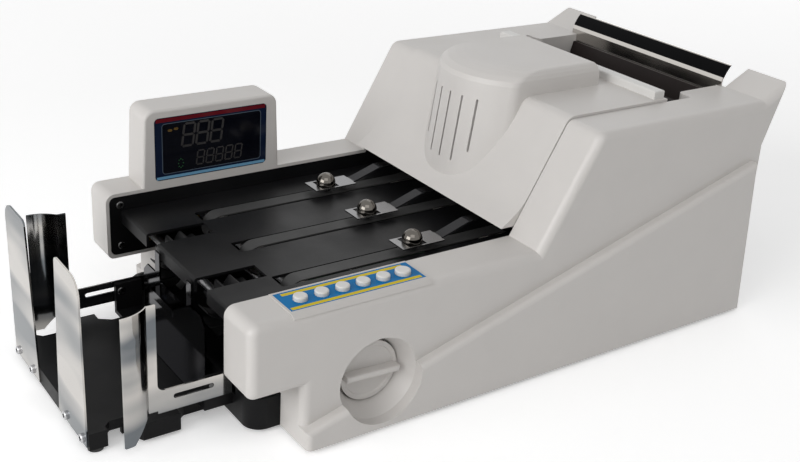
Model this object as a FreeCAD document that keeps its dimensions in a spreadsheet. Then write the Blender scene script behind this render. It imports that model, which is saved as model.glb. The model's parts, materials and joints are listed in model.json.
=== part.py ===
import FreeCAD, Part
import os
import re
import Sketcher

# Banknote counting machine of the long, flat-deck kind.
# Working frame, in millimetres: x runs from the stacker (minus) to the hopper (plus) with
# zero at the front ends of the deck walls, y = 0 is the middle of the note channel with the
# knob side at minus y, and z = 0 is the lower edge of the side covers. Every finished piece
# is then shifted so that the origin lies on the bench, under the middle of the length.

SIZES = {
    # side covers: outline seen from the side
    "panel_half": 127.0,
    "skirt_half": 135.0,
    "cover_wall": 2.5,
    "wall_top": 93.3,
    "overhang_bottom": 42.3,
    "leg_front": 36.9,
    "slope_foot": 221.3,
    "slope_top": 265.6,
    "panel_top": 172.6,
    "ear_kink": 435.3,
    "ear_x": 459.3,
    "ear_top": 184.4,
    "waist_x": 439.0,
    "waist_z": 126.0,
    "rear_foot": 442.0,
    "skirt_front": 13.0,
    "skirt_rear_x": 430.0,
    "skirt_rear_z": 126.7,
    "edge_round": 6.0,
    "corner_round": 7.0,
    "front_round": 4.5,
    "slope_round": 8.0,
    "skirt_round": 4.0,
    # hopper cheeks on the side covers
    "cheek_half": 80.0,
    "ear_half": 86.0,
    "cheek_front": 388.0,
    "cheek_bottom": 150.0,
    "cheek_round": 5.0,
    # note channel, frame plates and deck
    "channel_half": 93.5,
    "plate_sheet": 2.0,
    "fit_gap": 0.3,
    "deck_top": 80.0,
    "deck_sheet": 2.0,
    "deck_front": 11.0,
    "deck_rear": 256.0,
    "deck_lip": 8.0,
    "boss_radius": 4.0,
    "plate_screw_x": 10.5,
    "plate_screw_high": 84.5,
    "plate_screw_low": 52.5,
    # chassis pan and feet
    "pan_front": 16.0,
    "pan_rear": 436.0,
    "pan_half": 99.5,
    "pan_height": 23.0,
    "pan_wall": 2.5,
    "pan_round": 12.0,
    "louvre_count": 8,
    "foot_height": 3.0,
    "foot_radius": 8.0,
    # transport belts and their rollers
    "belt_pitch": 58.0,
    "belt_width": 12.0,
    "belt_thick": 1.0,
    "belt_gap": 0.2,
    "belt_proud": 0.5,
    "roller_radius": 10.0,
    "roller_width": 14.0,
    "idler_x": 72.0,
    "driver_x": 240.0,
    "shaft_radius": 3.0,
    "bush_radius": 5.0,
    "bush_flange": 7.0,
    "run_gap": 0.05,
    # drive train in the far side cover
    "pulley_radius": 8.0,
    "pulley_width": 5.0,
    "drive_belt_width": 4.0,
    "lane_step": 6.0,
    "lane_first": 97.5,
    "knob_x": 93.0,
    "knob_z": 33.0,
    "feed_x": 345.0,
    "feed_z": 88.0,
    "feed_radius": 16.0,
    "pick_x": 394.5,
    "pick_z": 115.5,
    "pick_radius": 14.0,
    "drum_y": 29.0,
    "drum_width": 18.0,
    "motor_x": 392.0,
    "motor_z": 50.0,
    "motor_radius": 30.0,
    "motor_half": 38.0,
    # stacker wheels
    "wheel_x": 32.5,
    "wheel_z": 58.5,
    "wheel_y": 38.5,
    "wheel_radius": 20.0,
    "wheel_width": 14.0,
    "hub_radius": 7.5,
    "vane_thick": 1.3,
    "vane_count": 12,
    # hand knob and its dish
    "dish_radius": 29.2,
    "dish_floor": 22.4,
    "dish_depth": 14.0,
    "well_depth": 7.0,
    "knob_radius": 21.4,
    "knob_thick": 7.0,
    "knob_web": 3.2,
    "knob_rim": 0.9,
    "knob_proud": 1.5,
    "grip_height": 7.5,
    "grip_width": 4.2,
    "grip_tilt": -3.0,
    # top cover with its dome
    "lid_half": 93.0,
    "lid_top": 174.5,
    "lid_rear": 363.0,
    "lid_rear_bottom": 152.0,
    "lip_x": 214.0,
    "lip_z": 99.5,
    "lip_bend_x": 231.5,
    "lip_bend_z": 112.5,
    "hinge_x": 354.0,
    "hinge_z": 163.0,
    "hinge_pin": 2.5,
    "lug_radius": 6.5,
    "dome_half": 45.0,
    "dome_draft": 2.0,
    "dome_rear": 338.0,
    "dome_top": 192.0,
    "dome_brow": 182.0,
    "dome_low": 100.0,
    "nose_top": 259.0,
    "nose_brow": 234.0,
    "nose_low": 226.0,
    "nose_arc": 55.0,
    "dome_corner": 12.0,
    "dome_round": 5.0,
    "lid_bend": 10.0,
    "lip_round": 45.0,
    "vent_pitch": 12.3,
    "vent_width": 1.6,
    "vent_top": 170.0,
    "vent_bottom": 120.0,
    "vent_step": 10.0,
    # gate strip on the rear of the top cover
    "strip_front": 352.0,
    "strip_rear": 362.0,
    "strip_top": 180.5,
    "strip_half": 90.0,
    # hopper
    "tray_sheet": 2.0,
    "tray_half": 79.5,
    "tray_top_x": 428.5,
    "tray_top_z": 167.0,
    "tray_knee_x": 424.0,
    "tray_knee_z": 152.0,
    "tray_low_x": 364.0,
    "tray_low_z": 110.3,
    "tray_slot": 20.0,
    "back_x": 431.0,
    "back_bottom": 142.0,
    "back_bend": 177.0,
    "back_top_x": 438.5,
    "back_top": 189.5,
    "back_half": 85.0,
    "back_sheet": 1.2,
    # ball arms
    "arm_half": 9.0,
    "arm_neck": 4.5,
    "arm_sheet": 1.0,
    "arm_tip": 150.0,
    "arm_bend": 187.5,
    "arm_rise": 210.0,
    "arm_low": 85.5,
    "arm_high": 93.0,
    "rod_x": 232.0,
    "rod_radius": 2.5,
    "eye_wall": 1.0,
    "ball_radius": 7.4,
    "ball_x": 163.5,
    "ball_window": 7.6,
    # stacker base, stop plates, wings, back plate
    "base_front": -78.0,
    "base_half": 60.0,
    "base_height": 12.0,
    "base_wall": 3.0,
    "lug_front_half": 68.0,
    "lug_front_end": -66.0,
    "lug_mid_half": 73.6,
    "lug_mid_start": -45.0,
    "lug_mid_end": -20.0,
    "cheek_height": 33.0,
    "cheek_start": -4.0,
    "cheek_wall": 3.6,
    "slide_gap": 0.1,
    "stop_inner": 18.5,
    "stop_outer": 66.0,
    "stop_lean": 9.0,
    "stop_bottom": 2.0,
    "stop_top": 116.0,
    "stop_sheet": 1.2,
    "stop_round": 12.0,
    "stop_screw_z": 5.6,
    "stop_screw_first": 31.5,
    "stop_screw_last": 60.0,
    "wing_y": 74.4,
    "wing_sheet": 1.2,
    "wing_root": -36.0,
    "wing_tip_x": -61.0,
    "wing_tip_y": 82.0,
    "wing_arc": 24.0,
    "wing_top": 94.5,
    "wing_bottom": 4.6,
    "wing_rise": 20.0,
    "wing_arm_end": 30.0,
    "wing_arm_low": 18.0,
    "wing_arm_high": 34.0,
    "wing_slot_start": -25.5,
    "wing_slot_end": 2.0,
    "wing_slot_low": 26.0,
    "wing_slot_high": 29.4,
    "wing_screw_x": 0.0,
    "rest_x": 10.0,
    "rest_sheet": 1.2,
    "rest_half": 48.5,
    "rest_shoulder": 59.5,
    "rest_sill": 54.5,
    "rest_notch": 21.5,
    "rest_post": 28.5,
    "rest_top": 76.0,
    "rest_tongue": 10.0,
    # small screws
    "screw_head": 3.0,
    "screw_rise": 1.8,
    "screw_shank": 1.5,
    # display on the far wall
    "display_left": 28.7,
    "display_right": 141.4,
    "display_top": 152.0,
    "display_depth": 31.5,
    "display_taper": 2.3,
    "display_round": 8.0,
    "window_left": 38.6,
    "window_right": 130.3,
    "window_bottom": 97.2,
    "window_top": 145.8,
    "window_round": 3.5,
    "window_sheet": 1.6,
    "window_ledge": 2.0,
    "display_well": 19.0,
    # key panel on the near wall
    "keys_left": 29.8,
    "keys_right": 131.4,
    "keys_inner": 94.2,
    "keys_sheet": 0.8,
    "keys_wrap": 50.0,
    "key_first": 44.0,
    "key_pitch": 15.2,
    "key_y": 108.4,
    "key_radius": 4.6,
    "last_key_radius": 5.3,
    "key_top": 97.2,
    "key_foot": 87.5,
    "key_gap": 0.25,
    "key_board_z": 82.0,
    # rear panel
    "rear_x": 434.0,
    "rear_sheet": 1.5,
    "rear_panel_top": 148.0,
    "grille_count": 9,
    "grille_pitch": 8.0,
    "grille_low": 96.0,
    "grille_high": 132.0,
    "inlet_y": 66.0,
    "inlet_z": 52.0,
    "inlet_half": 14.0,
    "inlet_low": 41.0,
    "inlet_high": 86.0,
    "inlet_depth": 20.0,
    "inlet_brim": 2.0,
    "switch_z": 74.0,
    "rocker_half": 10.0,
    "rocker_rise": 8.0,
    "port_y": -60.0,
    "port_z": 60.0,
    "port_half": 8.5,
    "port_rise": 4.5,
    # inner pieces
    "board_z": 8.0,
    "board_left": 130.0,
    "board_right": 260.0,
    "board_half": 62.0,
    "core_x": 306.0,
    "core_y": -44.0,
    "core_half": 24.0,
    "core_high": 42.0,
    "note_gap": 0.4,
    "tie_radius": 4.0,
}

DOC = FreeCAD.newDocument("BanknoteCounter")
SHEET = DOC.addObject("Spreadsheet::Sheet", "Sizes")
for row, (name, amount) in enumerate(SIZES.items(), 1):
    SHEET.set(f"A{row}", name.replace("_", " "))
    SHEET.set(f"B{row}", str(amount))
    SHEET.setAlias(f"B{row}", name)
DOC.recompute()

WORD = re.compile(r"[a-z]+(?:_[a-z]+)*")
NEAR = -1
FAR = 1
PIECES = []
MACHINE_MIDDLE = "(ear_x+base_front-stop_sheet-screw_rise)/2"


def bound(text):
    """Turn the size names in a formula into references to the sheet's cells."""
    return WORD.sub(lambda hit: f"Sizes.{hit[0]}" if hit[0] in SIZES else hit[0], str(text))


def size(text):
    """The present value of a formula of size names."""
    amount = SHEET.evalExpression(bound(text))
    return float(getattr(amount, "Value", amount))


def bind(thing, path, text):
    thing.setExpression(path, bound(text))


def keep(thing, label):
    """List a finished sub-part and shift it into the machine's own frame."""
    thing.Label = label
    bind(thing, "Placement.Base.x", f"-({MACHINE_MIDDLE})")
    bind(thing, "Placement.Base.z", "foot_height")
    PIECES.append(thing)
    return thing


def arc_edge(start, end, radius):
    """A minor arc; its centre is left of the way from start to end when the radius is positive."""
    chord = end - start
    reach = max(radius * radius - chord.Length ** 2 / 4, 0) ** 0.5
    left = FreeCAD.Vector(-chord.y, chord.x, 0).normalize()
    centre = (start + end) / 2 + left * (reach if radius > 0 else -reach)
    circle = Part.Circle(centre, FreeCAD.Vector(0, 0, 1), abs(radius))
    first, last = (start, end) if radius > 0 else (end, start)
    return Part.ArcOfCircle(circle, circle.parameter(first), circle.parameter(last))


def fix_point(sketch, edge, spot, x, y):
    """Hold one point of a sketch at two formulas from the sketch's origin."""
    for kind, text in (("DistanceX", x), ("DistanceY", y)):
        index = sketch.addConstraint(Sketcher.Constraint(kind, -1, 1, edge, spot, size(text)))
        bind(sketch, f"Constraints[{index}]", text)


def fix_radius(sketch, edge, text):
    index = sketch.addConstraint(Sketcher.Constraint("Radius", edge, abs(size(text))))
    bind(sketch, f"Constraints[{index}]", f"abs({text})")


def draw(sketch, loop):
    """Draw a closed loop: a circle, or points (x, y) with a third item where an arc follows."""
    if loop[0] == "circle":
        _, x, y, radius = loop
        place = FreeCAD.Vector(size(x), size(y), 0)
        edge = sketch.addGeometry(Part.Circle(place, FreeCAD.Vector(0, 0, 1), size(radius)), False)
        fix_point(sketch, edge, 3, x, y)
        fix_radius(sketch, edge, radius)
        return
    spots = [FreeCAD.Vector(size(point[0]), size(point[1]), 0) for point in loop]
    ends = []
    for index, point in enumerate(loop):
        start = spots[index]
        end = spots[(index + 1) % len(loop)]
        if len(point) == 2:
            edge = sketch.addGeometry(Part.LineSegment(start, end), False)
            ends.append((edge, 1, 2))
        else:
            bend = size(point[2])
            edge = sketch.addGeometry(arc_edge(start, end, bend), False)
            ends.append((edge, 1, 2) if bend > 0 else (edge, 2, 1))
    for index, (edge, begin, finish) in enumerate(ends):
        follower, entry, _ = ends[(index + 1) % len(ends)]
        sketch.addConstraint(Sketcher.Constraint("Coincident", edge, finish, follower, entry))
    for point, (edge, begin, finish) in zip(loop, ends):
        fix_point(sketch, edge, begin, point[0], point[1])
        if len(point) == 3:
            fix_radius(sketch, edge, point[2])


def block(left, low, right, high):
    return [(left, low), (right, low), (right, high), (left, high)]


def round_block(left, low, right, high, radius):
    """A rectangle with four rounded corners, drawn counter-clockwise."""
    bend = f"{radius}"
    return [
        (f"{left}+{radius}", low), (f"{right}-({radius})", low, bend),
        (right, f"{low}+{radius}"), (right, f"{high}-({radius})", bend),
        (f"{right}-({radius})", high), (f"{left}+{radius}", high, bend),
        (left, f"{high}-({radius})"), (left, f"{low}+{radius}", bend),
    ]


def belt_loop(x_one, z_one, x_two, z_two, radius):
    """The outline of a belt round two equal pulleys, with each half turn drawn as two arcs."""
    length = f"sqrt(({x_two}-({x_one}))^2+({z_two}-({z_one}))^2)"
    run_x = f"(({x_two}-({x_one}))/{length}*({radius}))"
    run_z = f"(({z_two}-({z_one}))/{length}*({radius}))"
    return [
        (f"{x_one}+{run_z}", f"{z_one}-{run_x}"),
        (f"{x_two}+{run_z}", f"{z_two}-{run_x}", radius),
        (f"{x_two}+{run_x}", f"{z_two}+{run_z}", radius),
        (f"{x_two}-{run_z}", f"{z_two}+{run_x}"),
        (f"{x_one}-{run_z}", f"{z_one}+{run_x}", radius),
        (f"{x_one}-{run_x}", f"{z_one}-{run_z}", radius),
    ]


class Piece:
    """One sub-part: a body whose sketches and features are drawn from the named sizes."""

    NORMAL = {"XY": 1, "XZ": -1, "YZ": 1}

    def __init__(self, label, finished=True):
        self.body = DOC.addObject("PartDesign::Body", label)
        self.body.Label = label
        if finished:
            keep(self.body, label)

    def sketch(self, plane, loops, level, centre=("0", "0"), turn=None):
        """Draw loops on a plane at a level along its axis, about a centre in the plane."""
        drawing = self.body.newObject("Sketcher::SketchObject", "Sketch")
        features = self.body.Origin.OriginFeatures
        face = next(item for item in features if item.Role == f"{plane}_Plane")
        drawing.AttachmentSupport = [(face, "")]
        drawing.MapMode = "FlatFace"
        bind(drawing, "AttachmentOffset.Base.x", centre[0])
        bind(drawing, "AttachmentOffset.Base.y", centre[1])
        bind(drawing, "AttachmentOffset.Base.z", f"{self.NORMAL[plane]}*({level})")
        if turn:
            bind(drawing, "AttachmentOffset.Rotation.Angle", turn)
        for loop in loops:
            draw(drawing, loop)
        return drawing

    def extrude(self, kind, plane, loops, start, end, centre=("0", "0"), turn=None):
        drawing = self.sketch(plane, loops, start, centre, turn)
        feature = self.body.newObject(f"PartDesign::{kind}", kind)
        feature.Profile = drawing
        bind(feature, "Length", f"abs({end}-({start}))")
        ahead = (size(end) > size(start)) == (self.NORMAL[plane] > 0)
        feature.Reversed = ahead if kind == "Pocket" else not ahead
        DOC.recompute()
        return feature

    def pad(self, plane, loops, start, end, **place):
        return self.extrude("Pad", plane, loops, start, end, **place)

    def cut(self, plane, loops, start, end, **place):
        """Take away an extrusion; a cut that removes nothing is an error."""
        before = self.body.Shape.Volume
        feature = self.extrude("Pocket", plane, loops, start, end, **place)
        if self.body.Shape.Volume > before - 1e-6:
            raise RuntimeError(f"{self.body.Label}: a cut removed nothing")
        return feature

    def repeat(self, feature, length, count):
        """Repeat a feature in a row along its sketch's own x axis."""
        row = self.body.newObject("PartDesign::LinearPattern", "Row")
        row.Originals = [feature]
        row.Direction = (feature.Profile[0], ["H_Axis"])
        bind(row, "Length", length)
        bind(row, "Occurrences", count)
        self.body.Tip = row
        DOC.recompute()

    def turn(self, kind, loop, x, z):
        """Revolve a half profile, drawn as (y, radius), about an axis along y through x and z."""
        drawing = self.sketch("YZ", [loop], x, ("0", z))
        feature = self.body.newObject(f"PartDesign::{kind}", kind)
        feature.Profile = drawing
        feature.ReferenceAxis = (drawing, ["H_Axis"])
        feature.Angle = 360
        DOC.recompute()
        return feature

    def round(self, radius, chosen, kind="Fillet", shifted=True):
        """Round or bevel every edge that the test accepts, judged in the working frame."""
        DOC.recompute()
        edges = self.body.Shape.Edges
        middle = FreeCAD.Vector()
        if shifted:
            middle = FreeCAD.Vector(-size(MACHINE_MIDDLE), 0, size("foot_height"))
        names = []
        for index, edge in enumerate(edges, 1):
            ends = [vertex.Point - middle for vertex in edge.Vertexes]
            if chosen(ends):
                names.append(f"Edge{index}")
        if not names:
            raise RuntimeError(f"{self.body.Label}: no edge to round")
        base = self.body.Tip
        feature = self.body.newObject(f"PartDesign::{kind}", kind)
        feature.Base = (base, names)
        bind(feature, "Radius" if kind == "Fillet" else "Size", radius)
        DOC.recompute()
        return feature


def near_to(amount, text):
    return abs(amount - size(text)) < 0.05


def group(label, members):
    """Several separate solids that share one node."""
    bundle = DOC.addObject("Part::Compound", label)
    bundle.Links = members
    return keep(bundle, label)


def rod(x, y, z, axis, radius, length):
    """A plain cylinder from a point along a signed axis."""
    cylinder = DOC.addObject("Part::Cylinder", "Rod")
    ways = {"x": (1, 0, 0), "y": (0, 1, 0), "z": (0, 0, 1)}
    way = FreeCAD.Vector(*ways[axis[-1]]) * (-1 if axis[0] == "-" else 1)
    cylinder.Placement.Rotation = FreeCAD.Rotation(FreeCAD.Vector(0, 0, 1), way)
    bind(cylinder, "Radius", radius)
    bind(cylinder, "Height", length)
    for letter, text in zip("xyz", (x, y, z)):
        bind(cylinder, f"Placement.Base.{letter}", text)
    return cylinder


def join(members, kind="Part::MultiFuse"):
    fused = DOC.addObject(kind, "Joined")
    fused.Shapes = members
    return fused


def screw(x, y, z, axis, grip):
    """A pan-head screw: its head stands on the point, its shank runs the other way."""
    other = axis[1:] if axis[0] == "-" else f"-{axis}"
    head = rod(x, y, z, axis, "screw_head", "screw_rise")
    crown = DOC.addObject("Part::Fillet", "Crown")
    crown.Base = head
    DOC.recompute()
    top = max(range(len(head.Shape.Edges)), key=lambda i: along(head.Shape.Edges[i], axis))
    crown.Edges = [(top + 1, size("screw_rise/2"), size("screw_rise/2"))]
    return join([crown, rod(x, y, z, other, "screw_shank", grip)])


def along(edge, axis):
    """How far an edge's middle lies along a signed axis; straight seams come last."""
    if len(edge.Vertexes) > 1:
        return -1e9
    amount = getattr(edge.BoundBox.Center, axis[-1])
    return -amount if axis[0] == "-" else amount


PANEL = [
    ("0", "overhang_bottom"), ("0", "wall_top"), ("slope_foot", "wall_top"), ("slope_top", "panel_top"),
    ("ear_kink", "panel_top"), ("ear_x", "ear_top"), ("waist_x", "waist_z"), ("rear_foot", "0"),
    ("leg_front", "0"), ("leg_front", "overhang_bottom"),
]
SKIRT = [
    ("leg_front", "0"), ("leg_front", "skirt_front"),
    ("skirt_rear_x", "skirt_rear_z"), ("rear_foot", "0"),
]
SLOPE_INSET = "tan(atan((panel_top-wall_top)/(slope_top-slope_foot))/2)"


def hollow(inset, bottom):
    """The side outline drawn in by a wall, open below where the bottom lies under the edge."""
    bend = f"({inset})*{SLOPE_INSET}"
    low = f"overhang_bottom+{inset}"
    high = f"wall_top-({inset})"
    return [
        (f"{inset}+front_round", low, "-front_round"), (inset, f"{low}+front_round"),
        (inset, f"{high}-front_round", "-front_round"), (f"{inset}+front_round", high),
        (f"slope_foot+{bend}", high), (f"slope_top+{bend}", f"panel_top-({inset})"),
        (f"ear_kink-({inset})", f"panel_top-({inset})"), (f"waist_x-({inset})", "waist_z"),
        (f"rear_foot-({inset})", bottom), (f"leg_front+{inset}", bottom),
        (f"leg_front+{inset}", low),
    ]


PLATE_SCREWS = [
    ("plate_screw_x", "plate_screw_high"), ("plate_screw_x", "plate_screw_low"),
    ("slope_top+40", "panel_top-26"), ("ear_kink-20", "waist_z+10"),
]
KEYS = [(f"key_first+key_pitch*{i}", "last_key_radius" if i == 5 else "key_radius") for i in range(6)]


def outer_edges(ends):
    """The edges round the upper panel's outer face, down to the skirt and the waist."""
    if any(not near_to(abs(point.y), "panel_half") for point in ends) or len(ends) < 2:
        return False
    middle = (ends[0] + ends[1]) / 2
    rise = (size("skirt_rear_z") - size("skirt_front")) / (size("skirt_rear_x") - size("leg_front"))
    skirt_line = size("skirt_front") + rise * (middle.x - size("leg_front"))
    below = middle.x > size("leg_front") - 1 and middle.z < skirt_line + 1
    lowest = min(point.z for point in ends)
    return not below and lowest > size("skirt_front") - 1 and middle.z > size("skirt_front") + 8


def side_cover(label, side):
    """A moulded side shell: long deck wall, sloped hump, rear ear and a proud skirt."""
    cover = Piece(label)
    inner = f"{side}*channel_half"
    outer = f"{side}*panel_half"
    cover.pad("XZ", [PANEL], inner, outer)
    cover.round("corner_round", lambda ends: len(ends) == 2 and all(near_to(p.x, "0") for p in ends)
                and near_to(ends[0].z, "wall_top") and near_to(ends[1].z, "wall_top"))
    cover.round("corner_round-2", lambda ends: len(ends) == 2 and all(near_to(p.x, "0") for p in ends)
                and near_to(ends[0].z, "overhang_bottom") and near_to(ends[1].z, "overhang_bottom"))
    cover.round("slope_round", lambda ends: len(ends) == 2 and all(near_to(p.x, "slope_top") for p in ends))
    cover.pad("XZ", [SKIRT], outer, f"{side}*skirt_half")
    cover.round("edge_round", outer_edges)
    cover.round("skirt_round", lambda ends: len(ends) == 2
                and all(near_to(abs(p.y), "skirt_half") for p in ends) and max(p.z for p in ends) > 1)
    # cheek and ear thicken the shell towards the hopper
    cheek = block("cheek_front", "cheek_bottom", "ear_kink", "panel_top")
    cover.pad("XZ", [cheek], inner, f"{side}*cheek_half")
    cover.round("cheek_round", lambda ends: len(ends) == 2 and all(near_to(p.x, "cheek_front") for p in ends)
                and all(near_to(abs(p.y), "cheek_half") for p in ends))
    ear = [("ear_kink", "panel_top"), ("ear_x", "ear_top"), ("waist_x+8", "cheek_bottom"),
           ("ear_kink", "cheek_bottom")]
    cover.pad("XZ", [ear], inner, f"{side}*ear_half")
    # cavities behind the panel, the skirt and the cheek
    cover.cut("XZ", [hollow("cover_wall", "-1")], inner, f"{side}*(panel_half-cover_wall)")
    # the skirt stays full where the knob's dish runs into it
    full = "(knob_x+dish_radius+10)"
    rise = "(skirt_rear_z-skirt_front)/(skirt_rear_x-leg_front)"
    pocket = [
        (full, "-1"), (full, f"skirt_front+({full}-leg_front)*{rise}-1.5*cover_wall"),
        ("skirt_rear_x-cover_wall", "skirt_rear_z-2*cover_wall"), ("rear_foot-2*cover_wall", "-1"),
    ]
    cover.cut("XZ", [pocket], inner, f"{side}*(skirt_half-cover_wall)")
    pocket = block("cheek_front+cover_wall", "cheek_bottom+cover_wall", "ear_kink-2*cover_wall",
                   "panel_top-cover_wall")
    cover.cut("XZ", [pocket], inner, f"{side}*(cheek_half+cover_wall)")
    # rebate for the chassis pan
    rebate = block("leg_front-1", "-1", "rear_foot+1", "pan_height+1")
    cover.cut("XZ", [rebate], inner, f"{side}*(pan_half+fit_gap)")
    # screw bosses that the frame plate is fastened to
    bosses = [("circle", x, z, "boss_radius") for x, z in PLATE_SCREWS]
    seat = f"{side}*(channel_half+plate_sheet+fit_gap)"
    cover.pad("XZ", bosses, seat, f"{side}*(panel_half-cover_wall/2)")
    holes = [("circle", x, z, "screw_shank+run_gap") for x, z in PLATE_SCREWS]
    cover.cut("XZ", holes, seat, f"{side}*(panel_half-2*cover_wall)")
    return cover


def near_side_cover():
    """The knob side has a dish that narrows to a well for the knob, and six key holes on top."""
    cover = side_cover("near_side_cover", NEAR)
    rim = "-skirt_half-1"
    floor = "-panel_half+dish_depth"
    well = f"{floor}+well_depth"
    cup = [
        ("-panel_half+cover_wall/2", "0"), ("-panel_half+cover_wall/2", "dish_radius+cover_wall"),
        (floor, "dish_floor+cover_wall"), (f"{well}+cover_wall", "dish_floor+cover_wall"),
        (f"{well}+cover_wall", "0"),
    ]
    cover.turn("Revolution", cup, "knob_x", "knob_z")
    dish = [
        (rim, "0"), (rim, "dish_radius"), ("-panel_half", "dish_radius"), (floor, "dish_floor"),
        (well, "dish_floor"), (well, "0"),
    ]
    cover.turn("Groove", dish, "knob_x", "knob_z")
    shaft_hole = ("circle", "knob_x", "knob_z", "shaft_radius+3")
    cover.cut("XZ", [shaft_hole], f"{well}-1", "-channel_half")
    holes = [("circle", x, "-key_y", f"{radius}+2*key_gap") for x, radius in KEYS]
    cover.cut("XY", holes, "wall_top+1", "wall_top-2*cover_wall")


def far_side_cover():
    side_cover("far_side_cover", FAR)


def frame_plate(label, side):
    """A black steel side frame that carries every shaft and closes the cover's inner side."""
    plate = Piece(label)
    inner = f"{side}*channel_half"
    outer = f"{side}*(channel_half+plate_sheet)"
    outline = hollow("(cover_wall+fit_gap)", "pan_wall+fit_gap")
    plate.pad("XZ", [outline], inner, outer)
    heel = block("pan_rear-pan_round-1", "0", "rear_foot+1", "pan_height+fit_gap")
    plate.cut("XZ", [heel], inner, outer)
    holes = [("circle", x, z, "bush_radius") for x, z in SHAFTS]
    holes += [("circle", x, z, "screw_shank+run_gap") for x, z in PLATE_SCREWS]
    holes += [("circle", "rod_x", ROD_Z, "rod_radius"), ("circle", "hinge_x", "hinge_z", "hinge_pin")]
    if side == FAR:
        holes.append(("circle", "motor_x", "motor_z", "pulley_radius+2"))
    plate.cut("XZ", holes, inner, outer)


KNOB_FACE = "-panel_half+dish_depth-knob_proud"
ROLLER_Z = "deck_top+belt_proud-belt_thick-belt_gap-roller_radius"
ROD_Z = "(arm_high+rod_radius+run_gap+eye_wall/2)"
SHAFTS = [
    ("knob_x", "knob_z"), ("wheel_x", "wheel_z"), ("idler_x", ROLLER_Z), ("driver_x", ROLLER_Z),
    ("feed_x", "feed_z"), ("pick_x", "pick_z"),
]


def plate_screws():
    members = []
    for side in (NEAR, FAR):
        axis = "y" if side == NEAR else "-y"
        for x, z in PLATE_SCREWS:
            members.append(screw(x, f"{side}*channel_half", z, axis, "3*plate_sheet+fit_gap"))
    return members


def shaft_bushes():
    """Flanged bronze bushes, one in each frame plate at every shaft."""
    members = []
    for side in (NEAR, FAR):
        axis = "-y" if side == NEAR else "y"
        for x, z in SHAFTS:
            start = f"{side}*(channel_half-1)"
            sleeve = rod(x, start, z, axis, "bush_radius", "plate_sheet+1.4")
            flange = rod(x, start, z, axis, "bush_flange", "1")
            ring = DOC.addObject("Part::Cut", "Bush")
            ring.Base = join([sleeve, flange])
            ring.Tool = rod(x, f"{side}*(channel_half-2)", z, axis, "shaft_radius+run_gap", "plate_sheet+4")
            members.append(ring)
    group("shaft_bushes", members)


def chassis_pan():
    """A moulded black tray that the frame plates stand in."""
    pan = Piece("chassis_pan")
    outline = round_block("pan_front", "-pan_half", "pan_rear", "pan_half", "pan_round")
    pan.pad("XY", [outline], "0", "pan_height")
    inside = round_block("(pan_front+pan_wall)", "(-pan_half+pan_wall)", "(pan_rear-pan_wall)",
                         "(pan_half-pan_wall)", "(pan_round-pan_wall)")
    pan.cut("XY", [inside], "pan_height", "pan_wall")
    for side in (NEAR, FAR):
        middle = f"{side}*(wing_y+wing_sheet/2)"
        notch = block(f"{middle}-3", "wing_arm_low-1", f"{middle}+3", "pan_height+1")
        pan.cut("YZ", [notch], "pan_front-1", "pan_front+pan_wall+1")
    louvre = round_block("(board_left+30)", "-board_half*0.7", "(board_left+34)", "(board_half*0.7)", "1.9")
    pan.repeat(pan.cut("XY", [louvre], "-1", "pan_wall+1"), "(louvre_count-1)*12", "louvre_count")


def rubber_feet():
    spots = [(x, side) for x in ("pan_front+26", "pan_rear-30") for side in (NEAR, FAR)]
    members = []
    for x, side in spots:
        members.append(rod(x, f"{side}*(pan_half-18)", "-foot_height", "z", "foot_radius", "foot_height"))
    for side in (NEAR, FAR):
        x = "(base_front+lug_front_end)/2"
        y = f"{side}*(lug_front_half-6)"
        members.append(rod(x, y, "-foot_height", "z", "foot_radius-3", "foot_height"))
    group("rubber_feet", members)


def deck_plate():
    """The flat note bed, slotted for belts and stacker wheels, its front edge turned down."""
    deck = Piece("deck_plate")
    half = "channel_half-fit_gap"
    low = "deck_top-deck_sheet"
    deck.pad("XY", [block("deck_front", f"-({half})", "deck_rear", half)], low, "deck_top")
    lip = block("deck_front", f"-({half})", "deck_front+deck_sheet", half)
    deck.pad("XY", [lip], low, f"{low}-deck_lip")
    slot = "(belt_width/2+2)"
    slots = []
    for lane in (-1, 0, 1):
        middle = f"{lane}*belt_pitch"
        slots.append(round_block("(idler_x-roller_radius-6)", f"({middle}-{slot})",
                                 "(driver_x+roller_radius+3)", f"({middle}+{slot})", "1.5"))
    deck.cut("XY", slots, "deck_top", low)
    wells = []
    for side in (NEAR, FAR):
        middle = f"{side}*wheel_y"
        wells.append(block("deck_front-1", f"{middle}-wheel_width/2-2", "wheel_x+wheel_radius+2",
                           f"{middle}+wheel_width/2+2"))
    deck.cut("XY", wells, "deck_top", f"{low}-deck_lip-1")
    deck.round("deck_sheet*0.9", lambda ends: len(ends) == 2 and all(near_to(p.x, "deck_front") for p in ends)
               and all(near_to(p.z, "deck_top") for p in ends))


def transport_belts():
    members = []
    for lane in (-1, 0, 1):
        belt = Piece(f"Belt{lane + 1}", finished=False)
        start = f"{lane}*belt_pitch-belt_width/2"
        end = f"{lane}*belt_pitch+belt_width/2"
        inner = "roller_radius+belt_gap"
        outer = belt_loop("idler_x", ROLLER_Z, "driver_x", ROLLER_Z, f"{inner}+belt_thick")
        belt.pad("XZ", [outer, belt_loop("idler_x", ROLLER_Z, "driver_x", ROLLER_Z, inner)], start, end)
        members.append(belt.body)
    group("transport_belts", members)


def stepped(steps):
    """Half profile of a turned shaft from (start, end, radius) steps that follow on."""
    profile = [(steps[0][0], "0")]
    for start, end, radius in steps:
        profile += [(start, radius), (end, radius)]
    profile.append((steps[-1][1], "0"))
    return profile


def lane_start(lane):
    return f"lane_first+{lane}*lane_step"


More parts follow.
